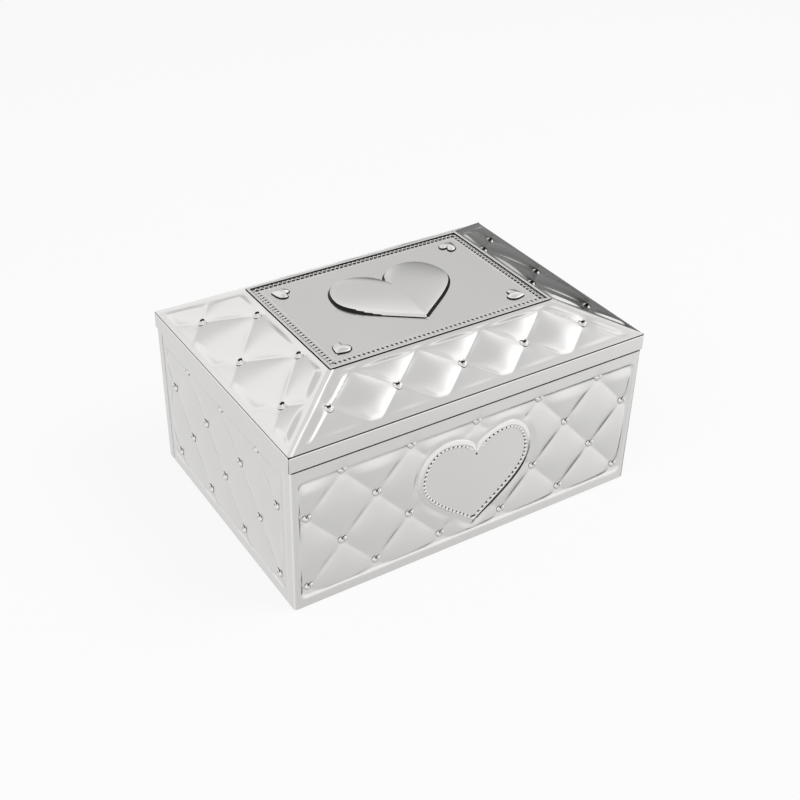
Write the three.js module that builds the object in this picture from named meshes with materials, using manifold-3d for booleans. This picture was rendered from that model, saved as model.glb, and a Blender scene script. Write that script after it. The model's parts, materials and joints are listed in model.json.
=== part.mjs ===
// Ballerina music box: silver-plated quilted case, hipped lid, movement wound from the back,
// and a doll on a spring that rises as the lid opens. Shown closed.
// Millimetres, +Z up, front towards -Y, origin at the centre of the case's footprint.
import * as THREE from 'three';
import { mergeVertices } from 'three/addons/utils/BufferGeometryUtils.js';
import Module from 'manifold-3d';

const wasm = await Module();
wasm.setup();

// Driving sizes of the closed box
const rimWidth = 150;
const rimDepth = 107;
const bodyHeight = 60;
const rimHeight = 6.4;
const hipRise = 12.6;
const hipRunFlank = 27.9;
const hipRunFront = 21.6;
const rimOverhang = 0.4;

// Clearances
const fitGap = 0.1;
const seamGap = 0.3;
const runGap = 0.3;
const cutOverrun = 2;

// Case sheets and boards
const sheetThick = 1.2;
const cornerRadius = 2.5;
const flangeDepth = 4;
const feltThick = 1.1;
const feltInset = 2;
const baseThick = 2.8;
const boardThick = 3;
const trimThick = 0.8;
const liningThick = 0.8;
const pocketDepth = 0.5;
const pocketRadius = 2.4;
const pocketEdge = 1.8;
const pocketTop = 4.8;
const pocketBottom = 4.2;
const sheetStart = 0.4;

// Quilting: half pitches of the studs along a wall and up it, and how far below the top they start
const quiltHalfFront = 13.7;
const quiltHalfFlank = 13.85;
const quiltStep = 15.2;
const quiltTopDrop = 6.1;
const quiltRise = 0.55;
const quiltRoot = 0.3;
const studRadius = 1.9;
const studRise = 0.9;
const studSides = 5;

// Heart plaque of the front panel
const plaqueHalfWidth = 24.7;
const plaqueTall = 42.3;
const plaqueTopDrop = 10.2;
const plaqueNotchDepth = 6.8;
const plaqueRise = 0.7;
const plaqueBevel = 0.6;

// Outline of every heart, as shares of its half width and height
const heartWideShare = 0.64;
const heartLobeShare = 0.52;
const heartTipShare = 0.2;
const heartFlankShare = 0.4;
const heartCrownShare = 0.22;
const heartBendShare = 0.26;
const heartDipShare = 0.5;
const heartSegments = 5;

// Lid
const bandThick = 1.2;
const bandRadius = 1;
const hipThick = 1.4;
const slopeBorder = 2.3;
const slopeRows = 4;
const hipMargin = 4.6;
const slopeQuiltRise = 1.1;
const slopeHalfFront = 13.4;
const slopeHalfFlank = 15.6;
const slopeStepFront = 11;
const slopeStepFlank = 16.4;
const slopeFrontStudShare = 0.48;
const slopeSideStudShare = 0.33;
const slopeSideSecondShare = 0.868;
const topPlateThick = 1.2;
const topRailWidth = 1;
const topRailRise = 0.4;
const topHeartHalfWidth = 24.5;
const topHeartTip = 20;
const topHeartLobe = 19;
const topHeartNotch = 10;
const topHeartRise = 1;
const topHeartBevel = 0.7;
const cornerHeartSize = 3.6;
const cornerHeartInset = 9.6;
const cornerHeartRise = 0.4;
const lidBoardThick = 2.8;
const lidBoardInset = 1.2;
const lidFrameWidth = 8;
const lidFrameFoot = 0.4;
const lidLiningThick = 1;
const mirrorThick = 1.3;
const mirrorSideBorder = 8.1;
const mirrorFrontBorder = 6.9;

// Hinges
const hingeInset = 31;
const hingeLength = 24;
const hingeReach = 1.6;
const knuckleRadius = 1.3;
const knuckleBore = 0.75;
const hingePinRadius = 0.6;
const pinHeadLength = 0.5;
const leafThick = 0.8;
const bodyLeafHeight = 11;
const lidLeafHeight = 4;
const leafClear = 0.25;

// Compartments
const dividerThick = 1.6;
const dividerHeight = 26;
const dividerPlace = 24;
const crossPlace = 16;
const rollCount = 3;
const rollHeight = 24;
const rollGap = 0.3;

// Movement: teeth
const toothPitch = 1.5;
const crownTeeth = 36;
const pinionTeeth = 12;
const toothDepth = 1.2;
const crownFace = 1.6;
const crownRootShare = 0.4;
const crownTipShare = 0.24;
const pinionTipReach = 0.45;
const pinionRootReach = 0.75;
const pinionRootShare = 0.5;
const pinionTipShare = 0.2;
const pinionFace = 2.2;
const wormWheelTeeth = 16;
const wormPitch = 1.5;
const wormPitchRadius = 1.5;
const wormThreadRadius = 0.3;
const wormTurns = 3.5;
const wormWheelFace = 1;
const wormWheelNeck = 2;
const wormWheelTipReach = 0.13;
const wormWheelRootReach = 0.6;
const wormWheelRootShare = 0.36;
const wormWheelTipShare = 0.22;

// Movement: barrel, cylinder, comb and frame
const drumRadius = 9;
const drumWall = 0.8;
const drumLength = 11;
const crownPlateThick = 1.5;
const coverThick = 0.7;
const coverStep = 0.5;
const arborRadius = 1.5;
const arborTipRadius = 1;
const hookRadius = 2.6;
const mainspringTurns = 4;
const mainspringThick = 0.35;
const mainspringInner = 3.2;
const mainspringOuter = 7.7;
const bedThick = 1.6;
const bedLeft = 38.5;
const bedRight = 15;
const bedTop = 10;
const footLength = 4.2;
const footRadius = 2.4;
const screwShankRadius = 1.1;
const screwHoleRadius = 1.5;
const screwHeadRadius = 2.6;
const screwHeadThick = 1.2;
const screwSlotWidth = 0.6;
const screwSlotDepth = 0.5;
const cylinderRadius = 5.5;
const cylinderLength = 20;
const cylinderStart = 10.6;
const cylinderArborRadius = 0.9;
const combTeeth = 18;
const combLength = 9;
const combBase = 6;
const combThick = 0.9;
const combSlotShare = 0.3;
const combRootShare = 0.3;
const combTipGap = 0.3;
const combFloorGap = 2;
const combScrewInset = 3.5;
const bracketThick = 1.4;
const bracketHalf = 4;
const bracketReach = 4;
const bridgeThick = 1.4;
const bridgeLeft = 6.8;
const bridgeRight = 14.5;
const bridgeHalf = 6.4;
const bridgeFront = 6.4;
const bridgePillarRadius = 1.3;
const bridgePillarPlace = 12.8;
const bridgePillarRise = 4.8;
const lugHalf = 2.6;
const lugReach = 2.1;

// Movement: governor, stop, key
const governorLow = 7.2;
const governorHigh = 0.6;
const governorShaftRadius = 0.6;
const governorPlateHalf = 1.9;
const flyRadius = 3.6;
const flyHeight = 3;
const flyThick = 0.7;
const flyHubRadius = 1.1;
const plungerRadius = 0.9;
const plungerPlace = 43;
const plungerInset = 3.2;
const plungerTipRadius = 0.8;
const plungerStep = 0.9;
const plungerTravel = 4;
const plungerCollarRadius = 2;
const returnSpringRadius = 1.75;
const returnSpringWire = 0.6;
const returnSpringLength = 5;
const returnTurns = 4;
const earHalf = 2.4;
const earThick = 1.4;
const keyHubRadius = 3;
const keyHubLength = 7;
const keyWingHalf = 11;
const keyWingHeight = 7.5;
const keyWingThick = 1.8;
const keyGripHoleRadius = 1.9;
const keyGripHolePlace = 7.3;
const keyHoleRadius = 2.3;
const escutcheonRadius = 6;
const escutcheonThick = 0.9;

// Deck and turntable
const deckThick = 2;
const chamberWallThick = 2;
const chamberFront = 31.6;
const spindleRadius = 1.1;
const spindleHoleRadius = 2.2;
const turntableRadius = 6.5;
const turntableThick = 1.2;
const springSeatRadius = 2.4;
const springSeatHeight = 1;

// Doll: heights above the middle of the bend of her spring
const springHalf = 5;
const springRadius = 2.1;
const springWire = 0.55;
const springTurns = 6;
const capRadius = 2.5;
const capLength = 2.4;
const toeRadius = 0.9;
const kneeRadius = 1.7;
const hipRadius = 2.7;
const waistRadius = 1.75;
const chestRadius = 2.5;
const neckRadius = 0.9;
const toeHeight = 7.6;
const kneeHeight = 15.5;
const hipHeight = 24.5;
const waistHeight = 28.6;
const chestHeight = 33.4;
const neckHeight = 36.4;
const headHeight = 40.4;
const headRadius = 2.6;
const bunRadius = 1.25;
const bunBack = 2;
const bunRise = 2.1;
const armRadius = 0.65;
const shoulderRadius = 1;
const shoulderHalf = 2.9;
const shoulderHeight = 34.6;
const elbowHalf = 6.6;
const elbowHeight = 41.5;
const handHalf = 1.3;
const handHeight = 48.5;
const tutuRadius = 13;
const tutuThick = 1.1;
const tutuDrop = 1.6;
const tutuHeight = 28.4;
const tutuPleats = 12;
const tutuWave = 0.5;

// Facet counts
const sidesSmall = 8;
const sidesMedium = 12;
const sidesLarge = 24;
const halfTurn = Math.PI;
const quarterTurn = halfTurn / 2;
const fullTurn = 2 * halfTurn;

// Derived: walls from outside to inside
const bodyHalfX = rimWidth / 2 - rimOverhang;
const bodyHalfY = rimDepth / 2 - rimOverhang;
const sheetInX = bodyHalfX - sheetThick;
const sheetInY = bodyHalfY - sheetThick;
const boardOutX = sheetInX - fitGap;
const boardOutY = sheetInY - fitGap;
const boardInX = boardOutX - boardThick;
const boardInY = boardOutY - boardThick;
const liningOutX = boardInX - fitGap;
const liningOutY = boardInY - fitGap;
const liningInX = liningOutX - liningThick;
const liningInY = liningOutY - liningThick;
const fillX = liningInX - fitGap;
const fillY = liningInY - fitGap;

// Derived: heights of the case
const baseLow = feltThick + fitGap;
const baseTop = baseLow + baseThick;
const floorLow = baseTop + fitGap;
const boardTop = bodyHeight - trimThick - fitGap;
const floorTop = floorLow + liningThick;
const insideLow = floorTop + fitGap;

// Derived: heights of the lid
const rimLow = bodyHeight + seamGap;
const rimTop = bodyHeight + rimHeight;
const hipTop = rimTop + hipRise;
const topHalfX = rimWidth / 2 - hipRunFlank;
const topHalfY = rimDepth / 2 - hipRunFront;
const hingeY = rimDepth / 2 + hingeReach;
const hingeZ = (bodyHeight + rimLow) / 2;

const quiltTop = bodyHeight - quiltTopDrop;
const plaqueLobe = bodyHeight - plaqueTopDrop;
const plaqueTip = plaqueLobe - plaqueTall;
const plaqueNotch = plaqueLobe - plaqueNotchDepth;
const hingeCentre = rimWidth / 2 - hingeInset;
const mirrorHalfX = topHalfX - mirrorSideBorder;
const mirrorHalfY = topHalfY - mirrorFrontBorder;
const frontField = bodyHalfX - pocketEdge;
const sideLength = bodyHalfY - flangeDepth - seamGap;
const sideField = sideLength - pocketEdge;
const hingeLow = hingeZ - knuckleRadius - bodyLeafHeight - studRadius;
const knuckleLength = (hingeLength - 2 * leafClear) / 3;
const lidBoardTop = hipTop - topPlateThick - fitGap;
const lidBoardLow = lidBoardTop - lidBoardThick;
const frameOutX = rimWidth / 2 - bandThick - fitGap;
const frameOutY = rimDepth / 2 - bandThick - fitGap;
const frameInX = frameOutX - lidFrameWidth;
const frameInY = frameOutY - lidFrameWidth;
const liningDrop = hipTop - lidBoardLow + fitGap;
const mirrorTop = hipTop - liningDrop - lidLiningThick - fitGap;

// Derived: movement frame. Its own origin is the barrel's axis, at the depth of the pinion axes.
const crownRadius = (toothPitch * crownTeeth) / fullTurn;
const pinionRadius = (toothPitch * pinionTeeth) / fullTurn;
const wormWheelRadius = (wormPitch * wormWheelTeeth) / fullTurn;
const wormCoreRadius = wormPitchRadius - wormThreadRadius;
const crownTipY = pinionRadius - toothDepth / 2;
const crownFloorY = crownTipY + toothDepth;
const drumFrontY = crownFloorY + crownPlateThick;
const drumBackY = drumFrontY + drumLength;
const bedFrontY = drumBackY + fitGap + coverThick + runGap;
const bedBackY = bedFrontY + bedThick;
const movementY = boardInY - fitGap - footLength - bedBackY;
const movementZ = baseTop + combFloorGap + combBase + combLength + combTipGap + cylinderRadius;
const bedLow = baseTop + runGap - movementZ;
const deckLow = movementZ + bedTop + runGap;
const chamberBackY = liningOutY - chamberFront;
const chamberFrontY = chamberBackY - chamberWallThick;
const frontRoomY = chamberFrontY - fitGap;
const deckTop = deckLow + deckThick;
const turntableLow = deckTop + runGap;
const turntableTop = turntableLow + turntableThick;
const foldZ = turntableTop + springSeatHeight + fitGap + springHalf;
const outsideY = bodyHalfY + runGap - movementY;
const cylinderEnd = cylinderStart + cylinderLength;
const wheelPlace = cylinderEnd + wormWheelNeck + wormWheelFace;
const wormX = wormWheelFace / 2 - wheelPlace;
const bracketRight = wormX - wormPitchRadius - wormThreadRadius - runGap;
const wormY = wormWheelRadius + wormPitchRadius;
const flyLow = (wormTurns * wormPitch) / 2 + wormThreadRadius + 2 * runGap + bracketThick;
const flyTop = flyLow + flyHeight;
const plungerY = liningInY - plungerInset - movementY;
const plungerCollarZ = deckLow - movementZ - plungerTravel - 2 * runGap;
const plungerFootZ = plungerCollarZ - plungerStep - 2 * runGap - returnSpringLength;
const stopTop = rimLow + lidFrameFoot - runGap - movementZ;
const screwPlaces = [
  [footRadius - bedLeft, bedTop - footRadius - fitGap],
  [bedRight - footRadius, bedLow + footRadius + fitGap],
];
const combTop = -cylinderRadius - combTipGap;
const combLow = combTop - combLength - combBase;
const combLeft = runGap - cylinderEnd;
const combRight = -cylinderStart - runGap;
const combScrews = [combLeft + combScrewInset, combRight - combScrewInset];
const combScrewZ = combLow + combBase / 2;

// Materials, each with the colour and finish of its piece
function surface(color, roughness, metalness) {
  return new THREE.MeshStandardMaterial({ color, roughness, metalness });
}

const silverPlate = () => surface('#d6d4d1', 0.3, 1);
const felt = () => surface('#3b3a3f', 1, 0);
const wood = () => surface('#b08a5c', 0.7, 0);
const velvet = () => surface('#d9a5ae', 0.95, 0);
const mirrorGlass = () => surface('#e8ecee', 0.03, 1);
const brass = () => surface('#c9a24e', 0.35, 1);
const steel = () => surface('#a8abae', 0.35, 1);
const blueSteel = () => surface('#5c6470', 0.35, 1);
const dollPlastic = () => surface('#efc9b4', 0.45, 0);
const tulle = () => surface('#f6dfe4', 0.9, 0);

// Solids: three.js geometry to manifold-3d and back
function solid(geometry) {
  const bare = geometry.clone();
  bare.deleteAttribute('normal');
  bare.deleteAttribute('uv');
  const merged = mergeVertices(bare, 1e-4);
  const indices = merged.index.array;
  return new wasm.Manifold(new wasm.Mesh({
    numProp: 3,
    vertProperties: new Float32Array(merged.attributes.position.array),
    triVerts: new Uint32Array(indices),
  }));
}

function geometryOf(body) {
  const made = body.getMesh();
  const geometry = new THREE.BufferGeometry();
  const places = new THREE.BufferAttribute(new Float32Array(made.vertProperties), made.numProp);
  geometry.setAttribute('position', places);
  geometry.setIndex(new THREE.BufferAttribute(new Uint32Array(made.triVerts), 1));
  geometry.computeVertexNormals();
  return geometry;
}

function joined(parts) {
  return parts.map(solid).reduce((whole, part) => whole.add(part));
}

function cut(body, cutters) {
  return cutters.map(solid).reduce((whole, cutter) => whole.subtract(cutter), body);
}

function piece(name, shape, material) {
  const geometry = shape.isBufferGeometry ? shape : geometryOf(shape);
  const mesh = new THREE.Mesh(geometry, material);
  mesh.name = name;
  return mesh;
}

// A box between two corners
function block(x0, x1, y0, y1, z0, z1) {
  const made = new THREE.BoxGeometry(x1 - x0, y1 - y0, z1 - z0);
  return made.translate((x0 + x1) / 2, (y0 + y1) / 2, (z0 + z1) / 2);
}

// Round bars between two places on one axis
function barZ(radius, x, y, z0, z1, sides = sidesMedium) {
  const made = new THREE.CylinderGeometry(radius, radius, z1 - z0, sides);
  return made.rotateX(quarterTurn).translate(x, y, (z0 + z1) / 2);
}

function barY(radius, x, y0, y1, z, sides = sidesMedium) {
  const made = new THREE.CylinderGeometry(radius, radius, y1 - y0, sides);
  return made.translate(x, (y0 + y1) / 2, z);
}

function barX(radius, x0, x1, y, z, sides = sidesMedium) {
  const made = new THREE.CylinderGeometry(radius, radius, x1 - x0, sides);
  return made.rotateZ(quarterTurn).translate((x0 + x1) / 2, y, z);
}

// A closed outline of radius and height pairs, turned about Z
function turned(outline, sides = sidesMedium) {
  const points = outline.map(([radius, height]) => new THREE.Vector2(radius, height));
  return new THREE.LatheGeometry(points, sides).rotateX(quarterTurn);
}

function extruded(shape, depth, options = {}) {
  const settings = { depth, bevelEnabled: false, curveSegments: sidesSmall, ...options };
  return new THREE.ExtrudeGeometry(shape, settings);
}

// A rectangle with round corners between two corners
function roundedRectangle(x0, x1, y0, y1, radius) {
  const shape = new THREE.Shape();
  shape.moveTo(x0 + radius, y0);
  shape.lineTo(x1 - radius, y0);
  shape.absarc(x1 - radius, y0 + radius, radius, -quarterTurn, 0);
  shape.lineTo(x1, y1 - radius);
  shape.absarc(x1 - radius, y1 - radius, radius, 0, quarterTurn);
  shape.lineTo(x0 + radius, y1);
  shape.absarc(x0 + radius, y1 - radius, radius, quarterTurn, halfTurn);
  shape.lineTo(x0, y0 + radius);
  shape.absarc(x0 + radius, y0 + radius, radius, halfTurn, halfTurn + quarterTurn);
  return shape;
}

// A heart with its tip at -tip, its lobes at +lobe and the notch between them
function heart(halfWidth, tip, lobe, notch) {
  const tall = tip + lobe;
  const wide = tall * heartWideShare - tip;
  const crest = halfWidth * heartLobeShare;
  const shape = new THREE.Shape();
  shape.moveTo(0, -tip);
  shape.bezierCurveTo(halfWidth * heartFlankShare, tall * heartTipShare - tip,
    halfWidth, tall * heartFlankShare - tip, halfWidth, wide);
  shape.bezierCurveTo(halfWidth, wide + tall * heartCrownShare,
    crest + halfWidth * heartBendShare, lobe, crest, lobe);
  shape.bezierCurveTo(crest - halfWidth * heartBendShare, lobe,
    0, notch + (lobe - notch) * heartDipShare, 0, notch);
  shape.bezierCurveTo(0, notch + (lobe - notch) * heartDipShare,
    heartBendShare * halfWidth - crest, lobe, -crest, lobe);
  shape.bezierCurveTo(-crest - halfWidth * heartBendShare, lobe,
    -halfWidth, wide + tall * heartCrownShare, -halfWidth, wide);
  shape.bezierCurveTo(-halfWidth, tall * heartFlankShare - tip,
    -halfWidth * heartFlankShare, tall * heartTipShare - tip, 0, -tip);
  return shape;
}

// A raised heart in the XY plane, standing on z = 0 with a sloping edge
function raisedHeart(shape, rise, bevel, root) {
  const made = extruded(shape, root, {
    bevelEnabled: true,
    bevelThickness: rise,
    bevelSize: bevel,
    bevelOffset: -bevel,
    bevelSegments: 1,
    curveSegments: heartSegments,
  });
  const below = block(-rimWidth, rimWidth, -rimWidth, rimWidth, -rimWidth, -root);
  return geometryOf(cut(solid(made.translate(0, 0, -root)), [below]));
}

// Quilted slab in the XY plane: valleys run between the studs of a diagonal lattice and each
// diamond rises to its middle. Its top lies at z = 0 in the valleys and its flat back at -root.
function quiltSlab(halfX, halfY, rows, columns, originY, rise, root) {
  const span = columns + columns + 1;
  const points = [];
  for (let row = 0; row <= rows; row += 1) {
    for (let column = 0; column < span; column += 1) {
      const crest = (row + column + columns) % 2 ? rise : 0;
      points.push((column - columns) * halfX, originY + row * halfY, crest);
    }
  }
  const low = points.length / 3;
  for (let index = 0; index < low; index += 1) {
    points.push(points[3 * index], points[3 * index + 1], -root);
  }
  const faces = [];
  const quad = (a, b, c, d) => faces.push(a, b, c, a, c, d);
  for (let row = 0; row < rows; row += 1) {
    for (let column = 0; column + 1 < span; column += 1) {
      const a = row * span + column;
      const [b, c, d] = [a + 1, a + span + 1, a + span];
      if ((row + column + columns) % 2) {
        quad(b, c, d, a);
      } else {
        quad(a, b, c, d);
      }
      quad(low + d, low + c, low + b, low + a);
    }
  }
  const rim = [];
  for (let column = 0; column < span; column += 1) rim.push(column);
  for (let row = 1; row <= rows; row += 1) rim.push(row * span + span - 1);
  for (let column = span - 2; column >= 0; column -= 1) rim.push(rows * span + column);
  for (let row = rows - 1; row > 0; row -= 1) rim.push(row * span);
  rim.forEach((here, index) => {
    const next = rim[(index + 1) % rim.length];
    quad(low + here, low + next, next, here);
  });
  const made = new THREE.BufferGeometry();
  made.setAttribute('position', new THREE.Float32BufferAttribute(points, 3));
  made.setIndex(faces);
  return made;
}

// A small raised boss where the quilting is pinned, standing on z = 0
function stud(x, y) {
  const made = new THREE.ConeGeometry(studRadius, studRise + quiltRoot, studSides);
  return made.rotateX(quarterTurn).translate(x, y, (studRise - quiltRoot) / 2);
}

// Stud places of a wall: rows shifted by half a pitch, inside the pocket, in wall coordinates
function wallStuds(halfPitch, halfWidth, topRow, rowPitch, low) {
  const places = [];
  const margin = studRadius;
  for (let row = 0; topRow - row * rowPitch > low + margin; row += 1) {
    const most = Math.floor((halfWidth - margin) / halfPitch);
    for (let column = -most; column <= most; column += 1) {
      if ((row + column) % 2 === 0) places.push([column * halfPitch, topRow - row * rowPitch]);
    }
  }
  return places;
}

// Pocket and quilting of one wall, built facing +Z with X along the wall and Y up it
function quiltedWall(halfWidth, halfPitch, keepOut) {
  const field = roundedRectangle(-halfWidth, halfWidth, pocketBottom, bodyHeight - pocketTop,
    pocketRadius);
  const rows = Math.ceil(bodyHeight / quiltStep) + 1;
  const columns = Math.ceil(halfWidth / halfPitch);
  const oddRows = rows + 1 - (rows % 2);
  const low = quiltTop + quiltStep * (1 - oddRows);
  const slab = quiltSlab(halfPitch, quiltStep, oddRows, columns, low, quiltRise, quiltRoot);
  const shape = extruded(field, quiltRise + 2 * quiltRoot, { curveSegments: 3 });
  const quilt = solid(slab).intersect(solid(shape.translate(0, 0, -2 * quiltRoot)));
  const studs = wallStuds(halfPitch, halfWidth, quiltTop, quiltStep, pocketBottom)
    .filter(([x, y]) => !keepOut(x, y))
    .map(([x, y]) => solid(stud(x, y)));
  const relief = studs.reduce((whole, each) => whole.add(each), quilt);
  const pocket = extruded(field, pocketDepth + cutOverrun, { curveSegments: 3 });
  return { relief, pocket: solid(pocket) };
}

// Turns a wall built facing +Z so that it faces out of the case at the given side
function wallMatrix(angle, distance) {
  const stand = new THREE.Matrix4().makeRotationX(quarterTurn);
  const turn = new THREE.Matrix4().makeRotationZ(angle);
  const push = new THREE.Matrix4().makeTranslation(0, -distance, 0);
  return turn.multiply(push).multiply(stand);
}

function moved(body, matrix) {
  return solid(geometryOf(body).applyMatrix4(matrix));
}

// A stretch of the sheet ring round the case, then its pocket and quilting
function sheetRing() {
  const outer = roundedRectangle(-bodyHalfX, bodyHalfX, -bodyHalfY, bodyHalfY, cornerRadius);
  const ring = extruded(outer, bodyHeight - sheetStart, { curveSegments: 3 });
  const inner = block(-sheetInX, sheetInX, -sheetInY, sheetInY, -cutOverrun, bodyHeight + cutOverrun);
  return solid(ring.translate(0, 0, sheetStart)).subtract(solid(inner));
}

function dressedWall(sheet, angle, distance, halfWidth, halfPitch, keepOut = () => false) {
  const { relief, pocket } = quiltedWall(halfWidth, halfPitch, keepOut);
  const place = wallMatrix(angle, distance - pocketDepth);
  return sheet.subtract(moved(pocket, place)).add(moved(relief, place));
}

function nearPlaque(x, y) {
  return Math.abs(x) < plaqueHalfWidth && y < plaqueLobe && y > plaqueTip;
}

function nearFittings(x, y) {
  const clear = escutcheonRadius + studRadius;
  return y > hingeLow && Math.abs(Math.abs(x) - hingeCentre) < hingeLength / 2 + studRadius
    || Math.hypot(x, y - movementZ) < clear
    || screwPlaces.some(([sx, sz]) => Math.hypot(x - sx, y - movementZ - sz) < clear);
}

function frontPanel() {
  const keep = block(-rimWidth, rimWidth, -rimDepth, flangeDepth - bodyHalfY, -cutOverrun, rimDepth);
  const sheet = sheetRing().intersect(solid(keep));
  const panel = dressedWall(sheet, 0, bodyHalfY, frontField, quiltHalfFront, nearPlaque);
  const middle = (plaqueTip + plaqueLobe) / 2;
  const outline = heart(plaqueHalfWidth, middle - plaqueTip, plaqueLobe - middle, plaqueNotch - middle);
  const plaque = raisedHeart(outline, plaqueRise + pocketDepth, plaqueBevel, quiltRoot);
  const place = wallMatrix(0, bodyHalfY - pocketDepth);
  return piece('front_panel', panel.add(moved(solid(plaque.translate(0, middle, 0)), place)),
    silverPlate());
}

function rearPanel() {
  const keep = block(-rimWidth, rimWidth, bodyHalfY - flangeDepth, rimDepth, -cutOverrun, rimDepth);
  const sheet = sheetRing().intersect(solid(keep));
  const panel = dressedWall(sheet, halfTurn, bodyHalfY, frontField, quiltHalfFront,
    (x, y) => nearFittings(-x, y));
  const low = sheetInY - cutOverrun;
  const high = bodyHalfY + cutOverrun;
  const holes = screwPlaces.map(([x, z]) => barY(screwHoleRadius, x, low, high, movementZ + z));
  const key = barY(keyHoleRadius, 0, low, high, movementZ);
  const pads = screwPlaces.map(([x, z]) => flatSpot(screwHeadRadius + runGap, x, z));
  const seat = flatSpot(escutcheonRadius + runGap, 0, 0);
  return piece('rear_panel', cut(pads.reduce((whole, pad) => whole.add(solid(pad)),
    panel.add(solid(seat))), [...holes, key]), silverPlate());
}

// A flat round seat in the rear quilting, level with the panel's border
function flatSpot(radius, x, z) {
  return barY(radius, x, bodyHalfY - pocketDepth - quiltRoot, bodyHalfY, movementZ + z);
}

function sidePanel(name, side) {
  const keep = block(-rimWidth, 0, -sideLength, sideLength, -cutOverrun, rimDepth);
  const cover = side < 0 ? keep : keep.translate(rimWidth, 0, 0);
  const sheet = sheetRing().intersect(solid(cover));
  const panel = dressedWall(sheet, side * quarterTurn, bodyHalfX, sideField, quiltHalfFlank);
  return piece(name, panel, silverPlate());
}

// Carcass
function baseFelt() {
  const x = boardOutX - feltInset;
  const y = boardOutY - feltInset;
  return piece('base_felt', block(-x, x, -y, y, 0, feltThick), felt());
}

function baseBoard() {
  const made = block(-boardOutX, boardOutX, -boardOutY, boardOutY, baseLow, baseTop);
  return piece('base_board', made, wood());
}

function frontBoard() {
  const made = block(-boardOutX, boardOutX, -boardOutY, -boardInY, floorLow, boardTop);
  return piece('front_board', made, wood());
}

function rearBoard() {
  const board = solid(block(-boardOutX, boardOutX, boardInY, boardOutY, floorLow, boardTop));
  const low = boardInY - cutOverrun;
  const high = boardOutY + cutOverrun;
  const holes = screwPlaces.map(([x, z]) => barY(screwHoleRadius, x, low, high, movementZ + z));
  return piece('rear_board', cut(board, [...holes, barY(keyHoleRadius, 0, low, high, movementZ)]), wood());
}

function sideBoard(name, side) {
  const y = boardInY - fitGap;
  const made = block(boardInX, boardOutX, -y, y, floorLow, boardTop);
  return piece(name, made.translate(side < 0 ? -boardInX - boardOutX : 0, 0, 0), wood());
}

// A rectangular frame standing between two heights
function frame(outX, outY, inX, inY, low, high) {
  const hole = block(-inX, inX, -inY, inY, low - cutOverrun, high + cutOverrun);
  return cut(solid(block(-outX, outX, -outY, outY, low, high)), [hole]);
}

function caseTrim() {
  const made = frame(boardOutX, boardOutY, liningInX, liningInY, bodyHeight - trimThick, bodyHeight);
  return piece('case_trim', made, silverPlate());
}

function wallLining() {
  const made = frame(liningOutX, liningOutY, liningInX, liningInY, floorLow, boardTop);
  const low = liningInY - cutOverrun;
  const holes = screwPlaces.map(([x, z]) => barY(footRadius + runGap, x, low, boardInY, movementZ + z));
  const key = barY(arborRadius + runGap, 0, low, boardInY, movementZ);
  return piece('wall_lining', cut(made, [...holes, key]), velvet());
}

function floorLining() {
  return piece('floor_lining', block(-fillX, fillX, -fillY, frontRoomY, floorLow, floorTop), velvet());
}

function chamberWall() {
  const made = block(-fillX, fillX, chamberFrontY, chamberBackY, floorLow, deckLow - fitGap);
  return piece('chamber_wall', made, velvet());
}

// Deck holes for the spindle and the stop plunger
function deckHoles(low, high) {
  return [
    barZ(spindleHoleRadius, 0, movementY, low - cutOverrun, high + cutOverrun),
    barZ(plungerRadius + runGap, -plungerPlace, movementY + plungerY, low - cutOverrun,
      high + cutOverrun),
  ];
}

function deckBoard() {
  const board = solid(block(-fillX, fillX, chamberFrontY, fillY, deckLow, deckTop));
  return piece('deck_board', cut(board, deckHoles(deckLow, deckTop)), velvet());
}

// Compartments in front of the movement
function divider(name, side) {
  const low = side * dividerPlace - dividerThick / 2;
  const made = block(low, low + dividerThick, -fillY, frontRoomY, insideLow, insideLow + dividerHeight);
  return piece(name, made, velvet());
}

function crossDivider() {
  const low = dividerPlace + dividerThick / 2 + fitGap;
  const made = block(low, fillX, -crossPlace - dividerThick / 2, dividerThick / 2 - crossPlace,
    insideLow, insideLow + dividerHeight);
  return piece('cross_divider', made, velvet());
}

function ringRoll(index) {
  const room = (frontRoomY + fillY) / rollCount;
  const half = (room - rollGap) / 2;
  const outline = new THREE.Shape();
  outline.moveTo(-half, 0);
  outline.lineTo(half, 0);
  outline.lineTo(half, rollHeight - half);
  outline.absarc(0, rollHeight - half, half, 0, halfTurn);
  const length = fillX - dividerPlace - dividerThick / 2 - 2 * fitGap;
  const made = extruded(outline, length, { curveSegments: sidesSmall });
  made.rotateX(quarterTurn).rotateZ(quarterTurn);
  made.translate(-fillX + fitGap, room * (index + 1 / 2) - fillY, insideLow);
  return piece(`ring_roll_${index + 1}`, made, velvet());
}

// Lid: metal outside
function rimBand() {
  const x = rimWidth / 2;
  const y = rimDepth / 2;
  const outer = extruded(roundedRectangle(-x, x, -y, y, bandRadius), rimTop - rimLow,
    { curveSegments: 2 }).translate(0, 0, rimLow);
  const inX = x - bandThick;
  const inY = y - bandThick;
  return piece('lid_rim_band', cut(solid(outer),
    [block(-inX, inX, -inY, inY, rimLow - cutOverrun, rimTop + cutOverrun)]), silverPlate());
}

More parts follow.
